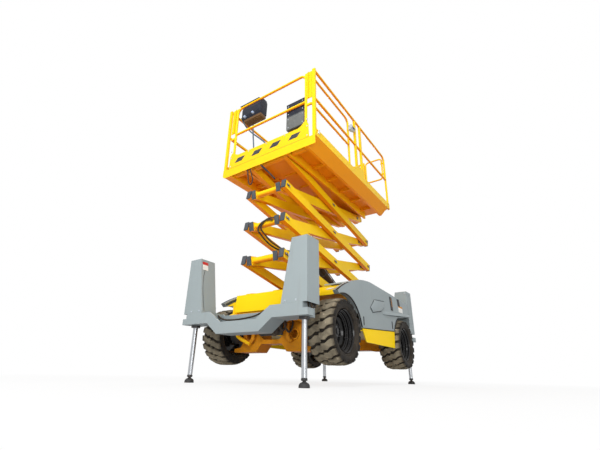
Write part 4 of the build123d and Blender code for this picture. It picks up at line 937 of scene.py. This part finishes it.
# sheets on a hood's skin: outline in XZ, from and to across the skin, bevel, finish
HOOD_SHEETS = [
    (outline, -0.006, 0.003, 0.001, "black_plastic")
    for outline in (
        [(-0.65, 0.948), (-0.56, 0.948), (-0.53, 1.134), (-0.62, 1.134)],
        [(-0.962, 1.052), (-0.868, 1.052), (-0.846, 1.152), (-0.94, 1.152)],
        [(0.374, 0.64), (0.397, 0.64), (0.397, 0.738), (0.374, 0.738)],
        [(-0.573, 0.697), (-0.549, 0.697), (-0.549, 0.795), (-0.573, 0.795)],
    )
] + [
    # the yellow seen inside the slot, in the darker copy of the yellow enamel: painted shade
    ([(-0.624, 1.0), (-0.61, 1.0), (-0.586, 1.122), (-0.597, 1.122)], 0.0, 0.0036, 0.0, "orange_paint"),
]
# the raised hatch and the seam round it
HOOD_HATCH = [
    ([(0.169, 0.875), (0.027, 0.994), (-0.304, 1.026), (-0.294, 0.94), (-0.186, 0.874), (0.112, 0.82)],
     -0.007, -0.005, 0.0, "grey_plastic"),
    ([(0.16, 0.876), (0.024, 0.988), (-0.298, 1.018), (-0.286, 0.944), (-0.182, 0.882), (0.108, 0.829)],
     -0.006, 0.012, 0.008, "grey_paint"),
]


def hood_shapes():
    """Everything on the left hood's skin, each shape with its finish."""
    for arch, start, stop, steps in ((FRONT_ARCH, 166.5, 70.5, 36), (REAR_ARCH, 71.5, 24.5, 20)):
        lip = arc_points(arch[:2], arch[2] - 0.001, start, stop, steps)
        yield sheet_along(lip, HOOD_OUT - 0.01, HOOD_OUT + 0.004, 0.008), "black_plastic"
    plates = ((0.968, 1.04, 0.002, "label_white"), (1.036, 1.062, 0.0024, "orange_paint"))
    for z0, z1, proud, finish in plates:
        yield block((-1.06, HOOD_OUT - 0.003, z0), (-0.885, HOOD_OUT + proud, z1), 0.001), finish
    for outline, low, high, bevel, finish in HOOD_SHEETS:
        yield prism(outline, "Y", HOOD_OUT + low, HOOD_OUT + high, bevel), finish
    brow = arc_points((0.0796, -0.5782), 1.7754, 58.23, 68.96, 14)
    yield sheet_along(brow, HOOD_OUT - 0.024, HOOD_OUT + 0.002, -0.004), "black_plastic"
    for outline, low, high, bevel, finish in HOOD_HATCH:
        yield prism(outline, "Y", HOOD_OUT + low, HOOD_OUT + high, bevel), finish
    # the ledge: a wedge that stands out along the crease and fades upwards
    yield skin([
        [(x, HOOD_OUT - 0.01, z - 0.01), (x, HOOD_OUT + out, z), (x, HOOD_OUT + out * 0.8, z + 0.016),
         (x, HOOD_OUT - 0.001, z + 0.045), (x, HOOD_OUT - 0.01, z + 0.045)]
        for x, z, out in ((-0.235, 0.846, 0.002), (-0.33, 0.855, 0.02), (-1.318, 0.946, 0.028))
    ]), "grey_paint"


def make_hood_trim():
    """Rubber lip on the wheel arches, slot frames, the raised hatch, the ledge and blank plates."""
    for side in SIDE:
        piece = Piece(f"{side}_hood_trim", f"{side}_hood")
        for shape, finish in hood_shapes():
            piece.add(swapped_side(shape) if side == "right" else shape, finish)
        piece.done()


# ---- chassis
def cover_wall(z):
    """Distance from the middle of a jack cover's sloping inner wall."""
    return 0.55 + (z - 0.718) * 0.116 / 0.651


def on_cover_wall(z0, z1, x0, x1, proud):
    """A thin plate on the sloping inner wall of the right front cover."""
    low, high = -cover_wall(z0), -cover_wall(z1)
    return prism([(low + 0.001, z0), (low + proud, z0), (high + proud, z1), (high + 0.001, z1)], "X", x0, x1)


def cross_rod(radius, half, steps):
    """A round rod across the front of the axle."""
    profile = [(0.0, -half), (radius, -half), (radius, half), (0.0, half)]
    return lathe(profile, (1.075, 0, 0.655), "Y", steps)


def make_front_fittings():
    """Hoses, steering parts and placards at the front."""
    piece = Piece("front_fittings", "chassis")
    for y, drop in ((-0.24, 0.1), (-0.15, 0.15), (-0.05, 0.11), (0.06, 0.17), (0.16, 0.12), (0.25, 0.14)):
        piece.hose([(1.15, y, 0.78), (1.13, y, 0.7), (1.12, y + 0.02, 0.7 - drop),
                    (1.07, y + 0.05, 0.645 - drop), (1.04, y + 0.08, 0.64), (1.03, y + 0.03, 0.72)], 0.011)
    piece.hose([(1.45, -0.44, 0.7), (1.45, -0.37, 0.648), (1.45, -0.2, 0.63), (1.45, 0.0, 0.64),
                (1.45, 0.16, 0.66), (1.45, 0.3, 0.72)], 0.009)
    # steering cylinder across the front of the axle, its valve block and the dark housing behind
    piece.blocks(((1.0205, -0.15, 0.5), (1.034, 0.17, 0.69), 0.004, "cast_metal"))
    profile = [(0.0, -0.03), (0.03, -0.026), (0.052, -0.01), (0.06, 0.012), (0.06, 0.02), (0.0, 0.02)]
    middle = (1.045, 0, 0)
    housing = moved(turned(lathe(profile, middle, "X", 40), "Z", pi, middle), (0.012, 0.02, 0.575))
    piece.add(housing, "cast_metal")
    piece.add(cross_rod(0.026, 0.24, 32), "cast_metal")
    piece.add(cross_rod(0.011, 0.4, 24), "chrome_rod")
    link = [(1.035, -0.52, 0.62), (1.042, -0.522, 0.56), (1.055, -0.475, 0.505), (1.055, -0.39, 0.46),
            (1.04, -0.29, 0.415)]
    piece.hose(link, 0.022, "yellow_paint", sides=16)
    piece.blocks(
        ((1.0205, -0.34, 0.59), (1.03, -0.15, 0.69), 0.004, "cast_metal"),
        ((1.03, 0.19, 0.64), (1.062, 0.26, 0.69), 0.005, "pale_plastic"),
    )
    bracket = [(0.225, 0.69), (0.225, 0.47), (0.262, 0.425), (0.3, 0.425), (0.3, 0.455), (0.268, 0.48),
               (0.262, 0.64), (0.42, 0.64), (0.44, 0.6), (0.47, 0.6), (0.455, 0.69)]
    piece.add(prism(bracket, "X", 1.0205, 1.046, 0.004), "orange_paint", mirrored=True)
    for y in (-0.2, 0.0, 0.2):
        piece.blocks(((1.04, y - 0.05, 0.74), (1.145, y + 0.05, 0.8), 0.006, "dark_steel"))
    bracket = [(0.425, 0.585), (0.47, 0.598), (0.452, 0.655), (0.408, 0.655)]
    piece.add(prism(bracket, "Y", 0.8, 0.842, 0.003), "dark_steel", mirrored=True)
    # blank placards and the curved seam of the covers' doors
    piece.add(on_cover_wall(1.235, 1.335, 1.488, 1.572, 0.003), "label_white")
    piece.add(on_cover_wall(1.3, 1.336, 1.487, 1.573, 0.0035), "label_red")
    for sign in END.values():
        edge = ((1.5, 1.335), (1.552, 1.2), (1.572, 1.05), (1.57, 0.9), (1.556, 0.745))
        seam = [(x * sign, cover_wall(z) - 0.0004, z) for x, z in edge]
        piece.hose(seam, 0.0028, "dark_steel", mirrored=True, sides=4)
    plate = [(0.793, 1.0025), (0.735, 1.0308), (0.736, 1.0343), (0.795, 1.006)]
    piece.add(prism(plate, "Y", 0.595, 0.675), "label_white")
    # dark ends of hoses under the front covers
    for y in (0.835, 0.8):
        route = [(1.5, y, 0.73), (1.5, y, 0.69), (1.46, y - 0.01, 0.672), (1.42, y, 0.7), (1.41, y, 0.74)]
        piece.hose(route, 0.01, mirrored=True)
    piece.done()
    spots = []
    for sign in END.values():
        for y in (0.6, 0.725):
            spots.append(((1.5913 * sign, y, 0.742), (sign, 0, 0)))
        for y, z in ((0.572, 0.8), (0.825, 1.34)):
            spots.append(((1.3717 * sign, y, z), (-sign, 0, 0)))
    fasteners("cover_rivets", "chassis", both_sides(spots), 0.0075, 0.004, "pale_plastic")


# where the four jacks stand, and sections of their fittings: (radius, height)
JACK_X, JACK_Y = 1.4785, 0.75
FOOT_CUP = [(0.0, 0.0015), (0.046, 0.0015), (0.0495, 0.006), (0.0495, 0.016), (0.046, 0.027), (0.037, 0.038),
            (0.026, 0.043), (0.0, 0.043)]
FOOT_COLLAR = [(0.0, 0.056), (0.024, 0.056), (0.029, 0.06), (0.029, 0.074), (0.025, 0.079), (0.0, 0.079)]
WIPER = [(0.0268, 0.574), (0.045, 0.574), (0.051, 0.58), (0.051, 0.5995), (0.0268, 0.5995)]


def make_jack_collars():
    """Wiper collars where the rods leave their barrels, and a cup and a collar on each foot."""
    piece = Piece("jack_collars", "chassis")
    for sign in END.values():
        piece.add(lathe(WIPER, (JACK_X * sign, JACK_Y, 0.0), "Z", 48), "dark_steel", mirrored=True)
    piece.done()
    for end, sign in END.items():
        for side, across in SIDE.items():
            foot = Piece(f"{end}_{side}_foot_cup", f"{end}_{side}_jack")
            for profile in (FOOT_CUP, FOOT_COLLAR):
                foot.add(lathe(profile, (JACK_X * sign, JACK_Y * across, 0.0), "Z", 48), "cast_metal")
            foot.done()


# ---- platform
def make_platform_trim():
    """Latch, hoses that hang behind the fascia, a black strip as painted shadow in the fascia's seam, and
    bolts.
    """
    piece = Piece("platform_trim", "platform")
    piece.blocks(
        ((0.115, 0.738, 3.6), (0.235, 0.79, 3.668), 0.008, "pale_plastic"),
        ((0.19, 0.744, 3.56), (0.262, 0.784, 3.604), 0.006, "pale_plastic"),
        ((0.14, 0.786, 3.615), (0.2, 0.798, 3.65), 0.003, "dark_steel"),
    )
    piece.hose([(0.06, 0.775, 3.7), (0.1, 0.782, 3.67), (0.15, 0.785, 3.655)], 0.006, "label_white")
    piece.blocks(
        ((1.205, 0.776, 2.842), (1.235, 0.79, 2.905), 0.003, "label_white"),
        # a black strip painted as the shadow in the gap between toe board and fascia
        ((1.3, -0.7, 2.7865), (1.3052, 0.7, 2.79), 0.0005, "black_plastic"),
    )
    piece.hose([(1.286, -0.13, 2.78), (1.286, -0.1, 2.69), (1.285, -0.06, 2.635), (1.285, 0.0, 2.57),
                (1.285, 0.06, 2.5), (1.285, 0.115, 2.435), (1.285, 0.165, 2.37)], 0.0105)
    piece.hose([(1.285, -0.055, 2.63), (1.285, 0.0, 2.57), (1.285, 0.03, 2.535)], 0.0135, "black_plastic")
    piece.hose([(1.288, -0.3, 2.78), (1.287, -0.27, 2.66), (1.286, -0.235, 2.56), (1.286, -0.205, 2.48),
                (1.286, -0.225, 2.415), (1.286, -0.262, 2.415), (1.286, -0.285, 2.47), (1.287, -0.3, 2.56),
                (1.288, -0.33, 2.78)], 0.008)
    piece.done()
    spots = [((x, 0.7795, 2.88), (0, 1, 0)) for x in (-1.15, -0.75, -0.25, 0.62, 1.0, 1.24)]
    fasteners("platform_bolts", "platform", both_sides(spots), 0.0075, 0.005, "yellow_paint")


# the operator's box, its lid, and the cover that hangs over the guard rail:
# outline in XZ, from and to in Y, bevel
CONTROL_SHELLS = [
    ([(1.135, 3.625), (1.262, 3.605), (1.288, 3.64), (1.29, 3.78), (1.262, 3.9), (1.15, 3.905),
      (1.128, 3.86)], -0.525, -0.165, 0.006),
    ([(1.284, 3.655), (1.2925, 3.655), (1.2935, 3.775), (1.27, 3.88), (1.262, 3.88), (1.284, 3.775)],
     -0.5, -0.19, 0.002),
    ([(1.232, 3.88), (1.294, 3.88), (1.296, 3.892), (1.262, 3.91), (1.238, 3.911), (1.228, 3.9)],
     -0.57, -0.2, 0.003),
]


def make_controls():
    """The operator's box with its lid, knobs and tray, cables to the deck, and the document case's door."""
    piece = Piece("control_station", "extension")
    for outline, y0, y1, bevel in CONTROL_SHELLS:
        piece.add(prism(outline, "Y", y0, y1, bevel), "navy_plastic")
    piece.blocks(
        ((1.15, -0.49, 3.56), (1.275, -0.16, 3.606), 0.008, "brown_plastic"),
        ((1.17, -0.3, 3.545), (1.262, -0.158, 3.6), 0.01, "brown_plastic"),
    )
    knob = [(0.0, 0.0), (0.02, 0.0), (0.022, 0.006), (0.018, 0.026), (0.012, 0.031), (0.0, 0.031)]
    for y, z in ((-0.455, 3.64), (-0.3, 3.65)):
        piece.add(lathe(knob, (1.284, y, z), "X", 32), "knob_blue")
    piece.done(replaced=["control_box"])
    cables = Piece("control_cables", "extension")
    cables.hose([(1.16, -0.66, 3.8), (1.15, -0.6, 3.66), (1.14, -0.45, 3.45), (1.13, -0.28, 3.28),
                 (1.12, -0.16, 3.15), (1.11, -0.1, 2.98), (1.1, -0.09, 2.802)], 0.011, "cable_blue")
    cables.hose([(1.16, -0.4, 3.57), (1.155, -0.395, 3.4), (1.15, -0.37, 3.2), (1.14, -0.36, 3.0),
                 (1.13, -0.37, 2.802)], 0.01, "cable_blue")
    cables.done()
    case = Piece("document_case_door", "extension")
    case.blocks(
        ((1.2535, 0.306, 3.298), (1.2585, 0.584, 3.494), 0.002, "navy_plastic"),
        ((1.2535, 0.306, 3.076), (1.258, 0.584, 3.278), 0.002, "stone_plastic"),
        ((1.19, 0.298, 3.482), (1.258, 0.592, 3.503), 0.003, "navy_plastic"),
    )
    case.done()
    spots = [((1.2583, y, z), (1, 0, 0)) for y in (0.33, 0.56) for z in (3.33, 3.462, 3.245, 3.11)]
    fasteners("case_rivets", "extension", spots, 0.006, 0.004, "pale_plastic")


def make_toe_panels():
    """Four leaning dark panels on the front toe board, its end bolts, and the corner bolts."""
    piece = Piece("toe_board_panels", "extension")
    face = 1.2945
    for y in (-0.478, -0.165, 0.15, 0.462):
        outline = [(y - 0.098, 2.862), (y + 0.04, 2.862), (y + 0.098, 2.93), (y - 0.04, 2.93)]
        piece.add(prism(outline, "X", face - 0.002, face + 0.0016, 0.0006), "dark_grey_paint")
    piece.done()
    places = [(y, 2.97) for y in (-0.655, -0.315, 0.0, 0.31, 0.655)]
    places += [(y, z) for y in (-0.655, 0.655) for z in (2.83, 3.08)]
    fasteners("toe_board_bolts", "extension", [((face, y, z), (1, 0, 0)) for y, z in places], 0.0075, 0.006)


make_tyres()
make_rims()
make_arm_ends()
make_arm_hoses()
make_drop_loops()
make_lift_cylinder()
make_hood_trim()
make_front_fittings()
make_jack_collars()
make_platform_trim()
make_controls()
make_toe_panels()


# ---- studio
def make_floor():
    """A white floor with a soft shadow, plain pale paint to every other ray."""
    mesh = bpy.data.meshes.new("floor")
    size = 60.0
    corners = [(-size, -size, 0), (size, -size, 0), (size, size, 0), (-size, size, 0)]
    mesh.from_pydata(corners, [], [(0, 1, 2, 3)])
    floor = put("floor", mesh)
    f = Finish("pale_floor")
    paint = f.node("ShaderNodeBsdfDiffuse", {"Color": (0.8, 0.8, 0.8)})
    glow = f.node("ShaderNodeEmission", {"Color": (1.0, 1.0, 1.0), "Strength": 1.0})
    far = f.signal("ShaderNodeVectorMath", {0: f.place}, "Value", operation="LENGTH")
    share = f.seen_rays() * (far.over(1.5, 7.0) * 0.18 + 0.82)
    both = f.node("ShaderNodeMixShader", {0: share, 1: paint, 2: glow})
    f.node("ShaderNodeOutputMaterial", {"Surface": both})
    mesh.materials.append(f.material)


def make_world():
    """White where the camera and reflections look, a softer level as light."""
    scene.world = bpy.data.worlds.new("studio")
    scene.world.use_nodes = True
    tree = Nodes(scene.world.node_tree)
    tree.tree.nodes.clear()
    world_level = 0.45
    inputs = {0: tree.seen_rays(), 1: 1.0 - world_level, 2: world_level}
    level = tree.node("ShaderNodeMath", inputs, operation="MULTIPLY_ADD")
    background = tree.node("ShaderNodeBackground", {"Color": (1.0, 1.0, 1.0), "Strength": level})
    tree.node("ShaderNodeOutputWorld", {"Surface": background})


def make_lamps():
    """A broad key in front on the left, and a weaker fill low on the other side."""
    lamps = [
        # name, place, target, size, power in watts
        ("key_lamp", (9.0, 3.0, 7.5), (0.0, 0.0, 1.8), 4.5, 880.0),
        ("low_fill_lamp", (6.0, 6.5, 1.2), (0.0, 0.2, 2.0), 4.0, 220.0),
        ("back_lamp", (-7.0, -5.0, 7.0), (0.0, 0.0, 1.6), 5.0, 420.0),
    ]
    for name, place, target, size, power in lamps:
        data = bpy.data.lights.new(name, "AREA")
        data.shape = "DISK"
        data.size = size
        data.energy = power
        lamp = put(name, data)
        lamp.location = place
        lamp.rotation_mode = "QUATERNION"
        lamp.rotation_quaternion = (Vector(target) - Vector(place)).to_track_quat("-Z", "Y")


def make_camera():
    """Near the floor off the front left corner, looking up at the platform."""
    heading, pitch, roll = radians(215.41), radians(23.42), radians(1.205)
    forward = Vector((cos(pitch) * cos(heading), cos(pitch) * sin(heading), sin(pitch)))
    level_right = forward.cross(Vector((0, 0, 1))).normalized()
    level_up = level_right.cross(forward)
    right = cos(roll) * level_right + sin(roll) * level_up
    turn = Matrix((right, right.cross(forward), -forward)).transposed()
    data = bpy.data.cameras.new("camera")
    data.sensor_width = 36.0
    data.lens = 20.75
    data.shift_x = 0.0139
    data.shift_y = -0.0024
    camera = put("camera", data)
    camera.matrix_world = Matrix.Translation((4.2425, 2.546, 0.114)) @ turn.to_4x4()
    scene.camera = camera


make_floor()
make_world()
make_lamps()
make_camera()
scene.view_settings.view_transform = "Standard"
